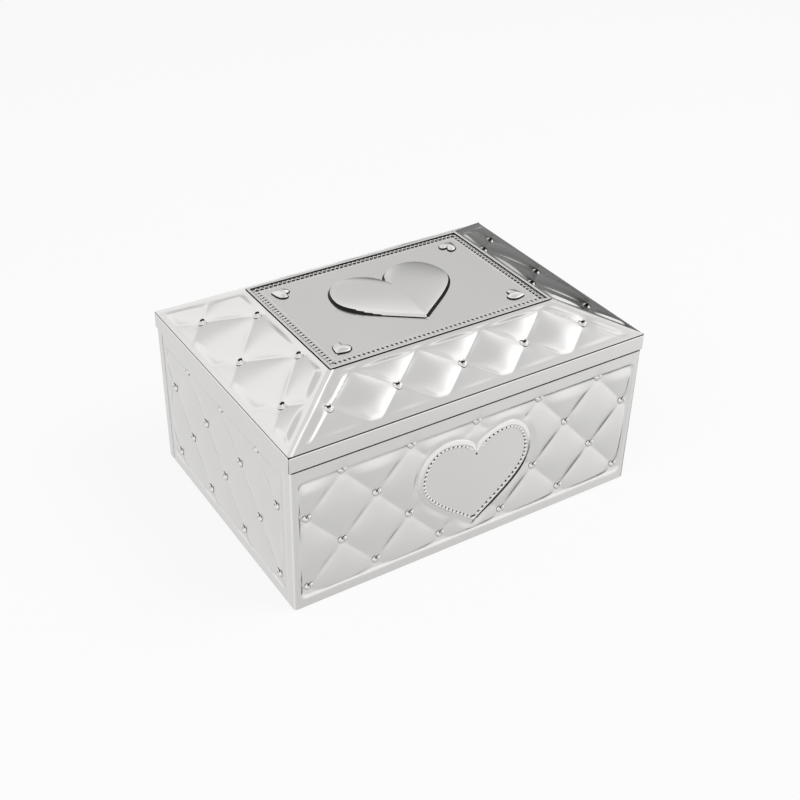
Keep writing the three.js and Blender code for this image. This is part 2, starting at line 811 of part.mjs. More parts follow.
// A frustum with the slopes of the lid, shifted down, between two heights
function hipSolid(drop, low) {
  const base = new THREE.CylinderGeometry(1, 1, 1, 4, 1).rotateY(quarterTurn / 2).rotateX(quarterTurn);
  const places = base.attributes.position;
  const grow = (rimTop + drop - low) / hipRise;
  for (let index = 0; index < places.count; index += 1) {
    const high = places.getZ(index) > 0;
    const rim = places.getX(index) === 0 && places.getY(index) === 0;
    const x = high ? topHalfX : topHalfX + hipRunFlank * (1 + grow - drop / hipRise);
    const y = high ? topHalfY : topHalfY + hipRunFront * (1 + grow - drop / hipRise);
    const height = high ? hipTop - drop : low - drop;
    places.setXYZ(index, rim ? 0 : Math.sign(places.getX(index)) * x,
      rim ? 0 : Math.sign(places.getY(index)) * y, height);
  }
  return solid(base);
}

// One quilted slope, built facing +Z with Y up the slope from its lower edge
function slopeRelief(halfLength, topHalf, run, halfPitch, rowPitch, studShare, secondShare) {
  const rise = Math.hypot(run, hipRise);
  const field = new THREE.Shape();
  const upper = topHalf + slopeBorder - hipMargin;
  field.moveTo(hipMargin - halfLength, slopeBorder);
  field.lineTo(halfLength - hipMargin, slopeBorder);
  field.lineTo(upper, rise - slopeBorder);
  field.lineTo(-upper, rise - slopeBorder);
  field.closePath();
  const columns = 2 * Math.ceil(halfLength / halfPitch / 2);
  const low = rise * studShare - 2 * rowPitch;
  const slab = quiltSlab(halfPitch, rowPitch, slopeRows, columns, low, slopeQuiltRise, quiltRoot);
  const cover = extruded(field, slopeQuiltRise + 2 * quiltRoot).translate(0, 0, -2 * quiltRoot);
  const quilt = solid(slab).intersect(solid(cover));
  const places = [];
  for (let column = -columns; column <= columns; column += 1) {
    const share = column % 2 ? secondShare : studShare;
    const x = column * halfPitch;
    const edge = halfLength - (halfLength - topHalf) * share - hipMargin + studRadius / 2;
    if (share && Math.abs(x) < edge) places.push([x, rise * share]);
  }
  return places.map(([x, y]) => solid(stud(x, y))).reduce((whole, each) => whole.add(each), quilt);
}

function slopeMatrix(angle, distance, run) {
  const tilt = new THREE.Matrix4().makeRotationX(Math.atan2(hipRise, run));
  const push = new THREE.Matrix4().makeTranslation(0, -distance, rimTop);
  const turn = new THREE.Matrix4().makeRotationZ(angle);
  return turn.multiply(push).multiply(tilt);
}

function hipCover() {
  const window = block(-topHalfX, topHalfX, -topHalfY, topHalfY, rimLow, hipTop + cutOverrun);
  const shell = hipSolid(0, rimTop).subtract(hipSolid(hipThick, rimLow)).subtract(solid(window));
  const front = slopeRelief(rimWidth / 2, topHalfX, hipRunFront, slopeHalfFront, slopeStepFront,
    slopeFrontStudShare, 0);
  const side = slopeRelief(rimDepth / 2, topHalfY, hipRunFlank, slopeHalfFlank, slopeStepFlank,
    slopeSideStudShare, slopeSideSecondShare);
  const dressed = [0, halfTurn].reduce((whole, angle) => whole
    .add(moved(front, slopeMatrix(angle, rimDepth / 2, hipRunFront)))
    .add(moved(side, slopeMatrix(angle + quarterTurn, rimWidth / 2, hipRunFlank))), shell);
  const lift = new THREE.Matrix4().makeTranslation(0, 0, fitGap);
  return piece('lid_hip_cover', moved(dressed, lift), silverPlate());
}

function topPlate() {
  const x = topHalfX - seamGap;
  const y = topHalfY - seamGap;
  const low = hipTop - topPlateThick;
  const rail = frame(x, y, x - topRailWidth, y - topRailWidth, low, hipTop + topRailRise);
  const big = heart(topHeartHalfWidth, topHeartTip, topHeartLobe, topHeartNotch);
  const dome = raisedHeart(big, topHeartRise, topHeartBevel, quiltRoot).translate(0, 0, hipTop);
  const small = heart(cornerHeartSize, cornerHeartSize, cornerHeartSize, cornerHeartSize / 2);
  const corners = [[-1, -1], [1, -1], [1, 1], [-1, 1]].map(([sx, sy]) => {
    const aim = Math.atan2(sy * topHalfY, sx * topHalfX) + quarterTurn;
    const each = raisedHeart(small, cornerHeartRise, cornerHeartRise, quiltRoot).rotateZ(aim);
    return each.translate(sx * (topHalfX - cornerHeartInset), sy * (topHalfY - cornerHeartInset), hipTop);
  });
  const raised = [dome, ...corners].reduce((whole, each) => whole.add(solid(each)), rail);
  return piece('lid_top_plate', raised.add(solid(block(-x, x, -y, y, low, hipTop))), silverPlate());
}

// Lid: wood, lining and mirror inside
function lidFrame() {
  const ring = frame(frameOutX, frameOutY, frameInX, frameInY, rimLow + lidFrameFoot, rimTop);
  const room = hipSolid(hipThick + fitGap, rimLow);
  return piece('lid_frame', ring.intersect(room), wood());
}

function lidBoard() {
  const x = topHalfX - lidBoardInset;
  const y = topHalfY - lidBoardInset;
  return piece('lid_board', block(-x, x, -y, y, lidBoardLow, lidBoardTop), wood());
}

function lidLining() {
  const outer = hipSolid(liningDrop, rimLow);
  const inner = hipSolid(liningDrop + lidLiningThick, rimLow - cutOverrun);
  const x = frameInX - fitGap;
  const y = frameInY - fitGap;
  const bound = block(-x, x, -y, y, rimLow + lidFrameFoot, hipTop);
  return piece('lid_lining', outer.subtract(inner).intersect(solid(bound)), velvet());
}

function lidMirror() {
  const made = block(-mirrorHalfX, mirrorHalfX, -mirrorHalfY, mirrorHalfY,
    mirrorTop - mirrorThick, mirrorTop);
  return piece('lid_mirror', made, mirrorGlass());
}

// Hinges, in the case's own frame. The body leaf has the outer knuckles, the lid leaf the middle one.
function knuckle(x0, x1) {
  return cut(solid(barX(knuckleRadius, x0, x1, hingeY, hingeZ)),
    [barX(knuckleBore, x0 - cutOverrun, x1 + cutOverrun, hingeY, hingeZ)]);
}

function bodyLeaf(name, centre) {
  const left = centre - hingeLength / 2;
  const right = centre + hingeLength / 2;
  const faceY = bodyHalfY + runGap;
  const low = hingeZ - knuckleRadius - bodyLeafHeight;
  const plate = solid(block(left, right, faceY, faceY + leafThick, low, hingeZ - knuckleRadius - leafClear));
  const arms = [[left, left + knuckleLength], [right - knuckleLength, right]].map(([x0, x1]) =>
    knuckle(x0, x1).add(cut(solid(block(x0, x1, faceY, faceY + leafThick, low, hingeZ)),
      [barX(knuckleBore, x0 - cutOverrun, x1 + cutOverrun, hingeY, hingeZ)])));
  return piece(name, arms.reduce((whole, arm) => whole.add(arm), plate), silverPlate());
}

function lidLeaf(name, centre) {
  const left = centre - hingeLength / 2;
  const right = centre + hingeLength / 2;
  const faceY = rimDepth / 2 + runGap;
  const low = hingeZ + knuckleRadius + leafClear;
  const plate = solid(block(left, right, faceY, faceY + leafThick, low, low + lidLeafHeight));
  const x0 = centre - knuckleLength / 2;
  const x1 = centre + knuckleLength / 2;
  const arm = cut(solid(block(x0, x1, faceY, faceY + leafThick, hingeZ, low + leafThick)),
    [barX(knuckleBore, x0 - cutOverrun, x1 + cutOverrun, hingeY, hingeZ)]);
  return piece(name, plate.add(knuckle(x0, x1)).add(arm), silverPlate());
}

function hingePin(name, centre) {
  const half = hingeLength / 2;
  const pin = barX(hingePinRadius, centre - half - runGap, centre + half + runGap, hingeY, hingeZ,
    sidesSmall);
  const heads = [-1, 1].map((side) => {
    const inner = centre + side * (half + fitGap);
    const outer = inner + side * pinHeadLength;
    return barX(knuckleRadius, Math.min(inner, outer), Math.max(inner, outer), hingeY, hingeZ, sidesSmall);
  });
  return piece(name, joined([pin, ...heads]), steel());
}

// Teeth. A pinion outline has trapezoid teeth with a gap at the given angle.
function gearShape(teeth, rootRadius, tipRadius, pitchRadius, rootShare, tipShare, gapAngle) {
  const step = fullTurn / teeth;
  const shape = new THREE.Shape();
  for (let tooth = 0; tooth < teeth; tooth += 1) {
    const middle = gapAngle + (tooth + 1 / 2) * step;
    const rootHalf = (step * rootShare) / 2;
    const tipHalf = (step * tipShare * pitchRadius) / tipRadius / 2;
    [[rootRadius, -rootHalf], [tipRadius, -tipHalf], [tipRadius, tipHalf], [rootRadius, rootHalf]]
      .forEach(([radius, offset], corner) => {
        const x = radius * Math.cos(middle + offset);
        const y = radius * Math.sin(middle + offset);
        if (tooth + corner === 0) shape.moveTo(x, y);
        else shape.lineTo(x, y);
      });
  }
  shape.closePath();
  return shape;
}

function pinion(gapAngle, face) {
  const shape = gearShape(pinionTeeth, pinionRadius - pinionRootReach, pinionRadius + pinionTipReach,
    pinionRadius, pinionRootShare, pinionTipShare, gapAngle);
  return extruded(shape, face).translate(0, 0, -face / 2);
}

// Barrel: the crown wheel's teeth point towards the front of the case
function crownTooth(index) {
  const root = (toothPitch * crownRootShare) / 2;
  const tip = (toothPitch * crownTipShare) / 2;
  const outline = new THREE.Shape();
  outline.moveTo(-root, fitGap);
  outline.lineTo(-tip, -toothDepth);
  outline.lineTo(tip, -toothDepth);
  outline.lineTo(root, fitGap);
  const tooth = extruded(outline, crownFace).translate(0, crownFloorY, crownRadius - crownFace / 2);
  return tooth.rotateY((index * fullTurn) / crownTeeth);
}

function springBarrel() {
  const outer = crownRadius + crownFace / 2;
  const plate = barY(outer, 0, crownFloorY, drumFrontY, 0, sidesLarge);
  const drum = barY(drumRadius, 0, crownFloorY + fitGap, drumBackY, 0, sidesLarge);
  const teeth = Array.from({ length: crownTeeth }, (_, index) => crownTooth(index));
  const body = joined([plate, drum, ...teeth]);
  const hollow = barY(drumRadius - drumWall, 0, drumFrontY, drumBackY + cutOverrun, 0, sidesLarge);
  const bore = barY(arborRadius + runGap, 0, crownTipY, drumBackY, 0);
  return piece('spring_barrel', cut(body, [hollow, bore]), brass());
}

function barrelCover() {
  const low = drumBackY + fitGap;
  const cap = barY(drumRadius, 0, low, low + coverThick, 0, sidesLarge);
  const step = barY(drumRadius - drumWall - fitGap, 0, low - coverStep, low, 0, sidesLarge);
  const bore = barY(arborRadius + runGap, 0, low - cutOverrun, low + cutOverrun, 0);
  return piece('barrel_cover', cut(joined([cap, step]), [bore]), brass());
}

// The mainspring, a flat spiral ribbon between the arbor and the drum
function mainspring() {
  const outline = new THREE.Shape();
  const steps = mainspringTurns * sidesSmall * 2;
  const place = (step, radiusShift) => {
    const share = step / steps;
    const radius = mainspringInner + (mainspringOuter - mainspringInner) * share + radiusShift;
    const angle = share * mainspringTurns * fullTurn;
    return [radius * Math.cos(angle), radius * Math.sin(angle)];
  };
  outline.moveTo(...place(0, 0));
  for (let step = 1; step <= steps; step += 1) outline.lineTo(...place(step, 0));
  for (let step = steps; step >= 0; step -= 1) outline.lineTo(...place(step, -mainspringThick));
  const length = drumLength - coverStep - 2 * runGap;
  const made = extruded(outline, length).rotateX(quarterTurn);
  return piece('mainspring', made.translate(0, drumFrontY + runGap + length, 0), blueSteel());
}

// Winding arbor, with a collar that carries the spring inside the drum and the key outside
function windingArbor() {
  const front = barY(arborTipRadius, 0, fitGap - bridgeFront - bridgeThick, 0, 0, sidesSmall);
  const rod = barY(arborRadius, 0, -fitGap, outsideY + escutcheonThick + keyHubLength / 2, 0);
  const hook = barY(hookRadius, 0, drumFrontY + runGap, drumBackY - coverStep - runGap, 0);
  return piece('winding_arbor', joined([front, rod, hook]), steel());
}

function windingKey() {
  const low = outsideY + escutcheonThick + runGap;
  const hub = barY(keyHubRadius, 0, low, low + keyHubLength, 0);
  const wings = roundedRectangle(-keyWingHalf, keyWingHalf, -keyWingHeight / 2, keyWingHeight / 2,
    keyWingHeight / 2 - fitGap);
  const grip = extruded(wings, keyWingThick, { curveSegments: 4 }).translate(0, 0, -keyWingThick / 2);
  grip.translate(0, low + keyHubLength + keyWingHeight / 2 - cutOverrun, 0);
  const socket = barY(arborRadius + fitGap, 0, low - cutOverrun, low + keyHubLength - cutOverrun, 0);
  const holes = [-1, 1].map((side) => barZ(keyGripHoleRadius, side * keyGripHolePlace,
    low + keyHubLength + keyWingHeight / 2 - cutOverrun, -keyWingThick, keyWingThick, sidesSmall));
  return piece('winding_key', cut(joined([hub, grip]), [socket, ...holes]), silverPlate());
}

function keyEscutcheon() {
  const plate = solid(barY(escutcheonRadius, 0, outsideY, outsideY + escutcheonThick, 0, sidesLarge));
  return piece('key_escutcheon', cut(plate,
    [barY(arborRadius + runGap, 0, outsideY - cutOverrun, outsideY + cutOverrun, 0)]), silverPlate());
}

// Bedplate: plate, three hollow feet against the back of the case and the seat of the comb
function bedplate() {
  const plate = block(-bedLeft, bedRight, bedFrontY, bedBackY, bedLow, bedTop);
  const seat = block(combLeft, combRight, combThick / 2 + fitGap, bedFrontY + fitGap, combLow,
    combLow + combBase - fitGap);
  const feet = screwPlaces.map(([x, z]) => barY(footRadius, x, bedFrontY + fitGap, bedBackY + footLength, z));
  const ear = block(-plungerPlace - earHalf, earThick - bedLeft, plungerY - earHalf, plungerY + earHalf,
    plungerFootZ - earThick, plungerFootZ);
  const body = joined([plate, seat, ear, ...feet]);
  const holes = [
    barZ(plungerRadius + runGap, -plungerPlace, plungerY, plungerFootZ - earThick - cutOverrun,
      plungerFootZ + cutOverrun, sidesSmall),
    ...screwPlaces.map(([x, z]) => barY(screwHoleRadius, x, bedFrontY - cutOverrun,
      bedBackY + footLength + cutOverrun, z, sidesSmall)),
    ...combScrews.map((x) => barY(screwHoleRadius, x, 0, combThick + screwHeadThick + cutOverrun,
      combScrewZ, sidesSmall)),
    barY(arborRadius + runGap, 0, bedFrontY - cutOverrun, bedBackY + cutOverrun, 0),
  ];
  return piece('bedplate', cut(body, holes), brass());
}

// A slotted screw along Y with its head towards -Y
function screw(name, x, z, headY, shankLength) {
  const head = barY(screwHeadRadius, 0, 0, screwHeadThick, 0);
  const shank = barY(screwShankRadius, 0, screwHeadThick - fitGap, screwHeadThick + shankLength, 0,
    sidesSmall);
  const slot = block(-screwHeadRadius, screwHeadRadius, -cutOverrun, screwSlotDepth,
    -screwSlotWidth / 2, screwSlotWidth / 2);
  const made = piece(name, cut(joined([head, shank]), [slot]), steel());
  made.position.set(x, headY, z);
  return made;
}

function movementScrew(index) {
  const [x, z] = screwPlaces[index];
  const length = outsideY - bedBackY;
  const made = screw(`movement_screw_${index + 1}`, x, z, outsideY + screwHeadThick, length);
  made.rotation.z = halfTurn;
  return made;
}

function comb() {
  const width = combRight - combLeft;
  const step = width / combTeeth;
  const shape = new THREE.Shape();
  shape.moveTo(combLeft, combLow);
  shape.lineTo(combRight, combLow);
  for (let tooth = combTeeth - 1; tooth >= 0; tooth -= 1) {
    const left = combLeft + tooth * step;
    const right = left + step * (1 - combSlotShare);
    const root = combLow + combBase + (combLength * combRootShare * tooth) / combTeeth;
    shape.lineTo(right, root);
    shape.lineTo(right, combTop);
    shape.lineTo(left, combTop);
    shape.lineTo(left, root);
  }
  const plate = extruded(shape, combThick).rotateX(quarterTurn).translate(0, combThick / 2, 0);
  const holes = combScrews.map((x) => barY(screwHoleRadius, x, -cutOverrun, cutOverrun, combScrewZ,
    sidesSmall));
  return piece('comb', cut(solid(plate), holes), steel());
}

function combScrew(index) {
  const headY = -combThick / 2 - fitGap - screwHeadThick;
  return screw(`comb_screw_${index + 1}`, combScrews[index], combScrewZ, headY,
    combThick + screwHeadThick);
}

// Pinned cylinder with its pinion on the right and the worm wheel on the left
function pinnedCylinder() {
  const drum = barX(cylinderRadius, -cylinderEnd, -cylinderStart, 0, 0, sidesLarge);
  const arbor = barX(cylinderArborRadius, bracketRight - bracketThick,
    runGap + bridgeThick - bridgeLeft, 0, 0, sidesSmall);
  const teeth = pinion(quarterTurn, pinionFace);
  teeth.rotateY(quarterTurn).rotateX(quarterTurn);
  teeth.translate(-crownRadius - pinionFace / 2 + crownFace / 2, 0, 0);
  const wheel = extruded(gearShape(wormWheelTeeth, wormWheelRadius - wormWheelRootReach,
    wormWheelRadius + wormWheelTipReach, wormWheelRadius, wormWheelRootShare, wormWheelTipShare, 0),
  wormWheelFace);
  wheel.rotateY(quarterTurn).rotateX(quarterTurn).translate(-wheelPlace, 0, 0);
  return piece('pinned_cylinder', joined([drum, arbor, teeth, wheel]), brass());
}

function cylinderBracket() {
  const x1 = bracketRight;
  const x0 = x1 - bracketThick;
  const upright = block(x0, x1, -bracketReach, bedFrontY - fitGap, -bracketHalf, bracketHalf);
  const bore = barX(cylinderArborRadius + runGap, x0 - cutOverrun, x1 + cutOverrun, 0, 0, sidesSmall);
  return piece('cylinder_bracket', cut(solid(upright), [bore]), brass());
}

// Bridge in front of the barrel: carries the arbor, the cylinder's right end and the spindle's foot
function bridge() {
  const back = -bridgeFront;
  const plate = block(-bridgeLeft, bridgeRight, back - bridgeThick, back, -bridgeHalf, bridgeHalf);
  const sideLug = block(-bridgeLeft, bridgeThick - bridgeLeft, back - fitGap, lugReach - fitGap, -lugHalf,
    lugHalf);
  const topLug = block(-lugHalf, lugHalf, back - fitGap, lugReach - fitGap, bridgeHalf - bridgeThick,
    bridgeHalf);
  const pillars = [-1, 1].map((side) => barY(bridgePillarRadius, bridgePillarPlace, back - fitGap,
    bedFrontY - fitGap, side * bridgePillarRise, sidesSmall));
  const holes = [
    barY(arborTipRadius + runGap, 0, back - cutOverrun, back + cutOverrun, 0),
    barX(cylinderArborRadius + runGap, -bridgeLeft - cutOverrun, cutOverrun - bridgeLeft, 0, 0, sidesSmall),
    barZ(spindleRadius + runGap, 0, 0, bridgeHalf - cutOverrun, bridgeHalf + cutOverrun),
  ];
  return piece('front_bridge', cut(joined([plate, sideLug, topLug, ...pillars]), holes), brass());
}

// Governor: worm and fly on one upright shaft behind the worm wheel
class Helix extends THREE.Curve {
  constructor(radius, pitch, turns, phase) {
    super();
    Object.assign(this, { radius, pitch, turns, phase });
  }

  getPoint(share, target = new THREE.Vector3()) {
    const turn = (share - 1 / 2) * this.turns;
    const angle = turn * fullTurn + this.phase;
    return target.set(this.radius * Math.cos(angle), this.radius * Math.sin(angle), turn * this.pitch);
  }
}

function disc(radius, sides) {
  const points = Array.from({ length: sides }, (_, index) => {
    const angle = (index * fullTurn) / sides;
    return new THREE.Vector2(radius * Math.cos(angle), radius * Math.sin(angle));
  });
  return new THREE.Shape(points);
}

function governorWorm() {
  const thread = new Helix(wormPitchRadius, wormPitch, wormTurns, -quarterTurn);
  const wound = new THREE.ExtrudeGeometry(disc(wormThreadRadius, 5), {
    steps: Math.round(wormTurns * sidesSmall),
    extrudePath: thread,
    bevelEnabled: false,
  });
  const coreHalf = (wormTurns * wormPitch) / 2 + wormThreadRadius;
  const core = barZ(wormCoreRadius, 0, 0, -coreHalf, coreHalf);
  const shaft = barZ(governorShaftRadius, 0, 0, -governorLow, flyTop + governorHigh, sidesSmall);
  const made = piece('governor_worm', joined([core, shaft, wound]), steel());
  made.position.set(wormX, wormY, 0);
  return made;
}

function governorFly() {
  const hub = solid(barZ(flyHubRadius, 0, 0, flyLow, flyTop));
  const blades = block(-flyRadius, flyRadius, -flyThick / 2, flyThick / 2, flyLow, flyTop);
  const bore = barZ(governorShaftRadius + fitGap, 0, 0, flyLow - cutOverrun, flyTop + cutOverrun, sidesSmall);
  const made = piece('governor_fly', cut(hub.add(solid(blades)), [bore]), steel());
  made.position.set(wormX, wormY, 0);
  return made;
}

// Governor bracket: two lugs on an upright that stands on the bedplate
function governorBracket() {
  const x = wormX;
  const low = -flyLow + runGap;
  const high = flyLow - runGap;
  const back = bedFrontY - fitGap;
  const upright = block(x - governorPlateHalf, x + governorPlateHalf, back - bracketThick, back,
    low - bracketThick + runGap, high);
  const front = wormY - governorPlateHalf;
  const lugs = [[low - bracketThick + runGap, low + runGap], [high - bracketThick, high]].map(([z0, z1]) =>
    block(x - governorPlateHalf, x + governorPlateHalf, front, back, z0, z1));
  const bore = barZ(governorShaftRadius + runGap, x, wormY, low - 2 * cutOverrun, high + cutOverrun,
    sidesSmall);
  return piece('governor_bracket', cut(joined([upright, ...lugs]), [bore]), brass());
}

// Stop plunger: the closed lid holds it down, and its tip then stands beside the fly
function stopPlunger() {
  const x = -plungerPlace;
  const rod = barZ(plungerRadius, x, plungerY, plungerFootZ - earThick, stopTop, sidesSmall);
  const collar = barZ(plungerCollarRadius, x, plungerY, plungerCollarZ - plungerStep, plungerCollarZ);
  const tipX = wormX - flyRadius - runGap - plungerTipRadius;
  const tip = barZ(plungerTipRadius, tipX, wormY, plungerCollarZ - 2 * plungerStep, plungerCollarZ,
    sidesSmall);
  const reach = [
    block(Math.min(x, tipX), Math.max(x, tipX), wormY - plungerTipRadius / 2,
      wormY + plungerTipRadius / 2, plungerCollarZ - plungerStep, plungerCollarZ - fitGap),
    block(x - plungerTipRadius, x + plungerTipRadius, wormY - plungerTipRadius / 2, plungerY,
      plungerCollarZ - plungerStep, plungerCollarZ - fitGap),
  ];
  return piece('stop_plunger', joined([rod, collar, tip, ...reach]), steel());
}

function returnSpring() {
  const path = new Helix(returnSpringRadius - returnSpringWire / 2 + fitGap,
    (returnSpringLength - returnSpringWire - fitGap) / returnTurns, returnTurns, 0);
  const wound = new THREE.ExtrudeGeometry(disc(returnSpringWire / 2, 5), {
    steps: returnTurns * sidesSmall,
    extrudePath: path,
    bevelEnabled: false,
  });
  wound.translate(-plungerPlace, plungerY, plungerFootZ + runGap + returnSpringLength / 2);
  return piece('return_spring', solid(wound), blueSteel());
}

// Spindle with its pinion on the crown wheel, and the turntable it carries
function spindle() {
  const low = bridgeHalf - bridgeThick;
  const high = turntableTop - movementZ - turntableThick / 2;
  const rod = barZ(spindleRadius, 0, 0, low, high);
  const teeth = pinion(quarterTurn, pinionFace);
  teeth.translate(0, 0, crownRadius + pinionFace / 2 - crownFace / 2);
  return piece('spindle', joined([rod, teeth]), brass());
}

function turntable() {
  const low = turntableLow - movementZ;
  const plate = barZ(turntableRadius, 0, 0, low, low + turntableThick, sidesLarge);
  const seat = barZ(springSeatRadius, 0, 0, low + turntableThick - fitGap,
    low + turntableThick + springSeatHeight);
  const bore = barZ(spindleRadius + fitGap, 0, 0, low - cutOverrun, low + turntableThick / 2 + fitGap);
  return piece('turntable', cut(joined([plate, seat]), [bore]), silverPlate());
}

// Doll. She is built upright about the middle of her spring and laid forward by a quarter turn.
class BentHelix extends THREE.Curve {
  getPoint(share, target = new THREE.Vector3()) {
    const angle = share * springTurns * fullTurn;
    const along = (share * 2 - 1) * (springHalf - springWire);
    const bend = quarterTurn * (1 - THREE.MathUtils.smoothstep(share, 0, 1));
    const side = springRadius * Math.cos(angle);
    const depth = springRadius * Math.sin(angle);
    return target.set(side, depth * Math.cos(bend) + along * Math.sin(bend),
      along * Math.cos(bend) - depth * Math.sin(bend));
  }
}

function dollSpring() {
  const wound = new THREE.ExtrudeGeometry(disc(springWire / 2, 5), {
    steps: springTurns * sidesSmall,
    extrudePath: new BentHelix(),
    bevelEnabled: false,
  });
  return piece('doll_spring', solid(wound), steel());
}

function footCap() {
  const low = springHalf + fitGap;
  const cap = barZ(capRadius, 0, 0, low, low + capLength);
  const hole = barZ(toeRadius + fitGap, 0, 0, low + capLength / 2, low + capLength + cutOverrun);
  return piece('foot_cap', cut(solid(cap), [hole]), silverPlate());
}

function arm(side) {
  const path = new THREE.CatmullRomCurve3([
    new THREE.Vector3(side * shoulderHalf, 0, shoulderHeight),
    new THREE.Vector3(side * elbowHalf, 0, elbowHeight),
    new THREE.Vector3(side * handHalf, 0, handHeight),
  ]);
  return new THREE.ExtrudeGeometry(disc(armRadius, 6), { steps: 8, extrudePath: path, bevelEnabled: false });
}

function figure() {
  const foot = springHalf + fitGap + capLength / 2 + fitGap;
  const body = turned([
    [0, foot],
    [toeRadius, foot],
    [toeRadius, toeHeight],
    [kneeRadius, kneeHeight],
    [hipRadius, hipHeight],
    [waistRadius, waistHeight],
    [chestRadius, chestHeight],
    [chestRadius, shoulderHeight],
    [neckRadius, neckHeight],
    [neckRadius, headHeight],
    [0, headHeight],
  ]);
  const head = new THREE.SphereGeometry(headRadius, 12, 8).rotateX(quarterTurn);
  head.translate(0, 0, headHeight);
  const bun = new THREE.SphereGeometry(bunRadius, 8, 6).translate(0, bunBack, headHeight + bunRise);
  const shoulders = barX(shoulderRadius, -shoulderHalf, shoulderHalf, 0, shoulderHeight, sidesSmall);
  return piece('figure', joined([body, shoulders, arm(-1), arm(1), head, bun]), dollPlastic());
}

function tutu() {
  const inner = waistRadius + runGap;
  const made = turned([
    [inner, tutuHeight],
    [tutuRadius, tutuHeight - tutuDrop],
    [tutuRadius, tutuHeight - tutuDrop + tutuThick],
    [inner, tutuHeight + tutuThick],
    [inner, tutuHeight],
  ], tutuPleats * 2);
  const places = made.attributes.position;
  for (let index = 0; index < places.count; index += 1) {
    const [x, y, z] = [places.getX(index), places.getY(index), places.getZ(index)];
    const share = Math.hypot(x, y) / tutuRadius;
    const wave = tutuWave * share * Math.cos(tutuPleats * Math.atan2(y, x));
    places.setZ(index, z + wave);
  }
  return piece('tutu', made, tulle());
}

function dollGroup() {
  const group = new THREE.Group();
  group.add(dollSpring(), footCap(), figure(), tutu());
  group.position.set(0, movementY, foldZ);
  group.rotation.x = quarterTurn;
  return group;
}

function movementGroup() {
  const group = new THREE.Group();
  group.add(bedplate(), comb(), combScrew(0), combScrew(1), bridge(), cylinderBracket());
  group.add(springBarrel(), barrelCover(), mainspring(), windingArbor());
  group.add(windingKey(), keyEscutcheon(), pinnedCylinder(), governorWorm(), governorFly());
  group.add(governorBracket(), stopPlunger(), returnSpring(), spindle(), turntable());
  screwPlaces.forEach((_, index) => group.add(movementScrew(index)));
  group.position.set(0, movementY, movementZ);
  return group;
}

function caseGroup() {
  const group = new THREE.Group();
  group.add(baseFelt(), baseBoard(), frontPanel(), rearPanel());
  group.add(sidePanel('left_panel', -1), sidePanel('right_panel', 1));
  group.add(frontBoard(), rearBoard(), sideBoard('left_board', -1), sideBoard('right_board', 1));
  group.add(caseTrim(), wallLining(), floorLining(), chamberWall());
  group.add(deckBoard(), divider('left_divider', -1), divider('right_divider', 1));
  group.add(crossDivider());
  for (let index = 0; index < rollCount; index += 1) group.add(ringRoll(index));
  return group;
}

function lidGroup() {
  const group = new THREE.Group();
  group.add(rimBand(), hipCover(), topPlate(), lidFrame(), lidBoard(), lidLining());
  group.add(lidMirror());
  return group;
}

function hingeGroup() {
  const group = new THREE.Group();
  [['left', -hingeCentre], ['right', hingeCentre]].forEach(([side, centre]) => {
    group.add(bodyLeaf(`${side}_body_leaf`, centre));
    group.add(lidLeaf(`${side}_lid_leaf`, centre));
    group.add(hingePin(`${side}_hinge_pin`, centre));
  });
  return group;
}

const musicBox = new THREE.Group();
musicBox.add(caseGroup(), lidGroup(), hingeGroup(), movementGroup(), dollGroup());

export default musicBox;
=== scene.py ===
import json
import math

import bmesh
import bpy
import numpy as np
from mathutils import Matrix, Vector


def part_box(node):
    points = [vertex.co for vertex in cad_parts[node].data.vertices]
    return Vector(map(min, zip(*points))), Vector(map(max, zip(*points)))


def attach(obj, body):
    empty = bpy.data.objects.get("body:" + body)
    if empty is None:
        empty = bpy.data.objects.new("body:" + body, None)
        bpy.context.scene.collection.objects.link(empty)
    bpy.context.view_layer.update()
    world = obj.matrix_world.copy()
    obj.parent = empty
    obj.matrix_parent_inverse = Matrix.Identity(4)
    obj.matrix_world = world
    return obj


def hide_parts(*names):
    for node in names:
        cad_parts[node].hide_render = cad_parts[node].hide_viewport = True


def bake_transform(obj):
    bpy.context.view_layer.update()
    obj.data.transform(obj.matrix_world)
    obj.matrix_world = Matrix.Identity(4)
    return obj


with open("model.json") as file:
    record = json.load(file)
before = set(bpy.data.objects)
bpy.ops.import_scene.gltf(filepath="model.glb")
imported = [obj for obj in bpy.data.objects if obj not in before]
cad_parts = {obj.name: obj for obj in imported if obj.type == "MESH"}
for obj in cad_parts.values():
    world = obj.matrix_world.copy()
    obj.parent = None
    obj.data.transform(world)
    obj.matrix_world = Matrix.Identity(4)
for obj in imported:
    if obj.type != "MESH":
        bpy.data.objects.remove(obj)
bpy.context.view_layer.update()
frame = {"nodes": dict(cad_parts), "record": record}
mm = 0.001                      # sizes below are millimetres, the scene is in metres
meshOps = bpy.ops.mesh


# Small helpers

def deselect():
    bpy.ops.object.select_all(action="DESELECT")


def pick(*pieces):
    deselect()
    for piece in pieces:
        piece.select_set(True)
    bpy.context.view_layer.objects.active = pieces[0]


def named(name):
    piece = bpy.context.object
    piece.name = name
    piece.data.name = name
    return piece


def add(name, primitive, **values):
    deselect()
    primitive(**values)
    return named(name)


def applyPlace(piece):
    pick(piece)
    bpy.ops.object.transform_apply(location=True, rotation=True, scale=True)
    return piece


def boxOf(node):
    low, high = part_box(node)
    return np.array(low) / mm, np.array(high) / mm


def smooth(value, low, high):
    share = np.clip((value - low) / (high - low), 0, 1)
    return share * share * (3 - 2 * share)


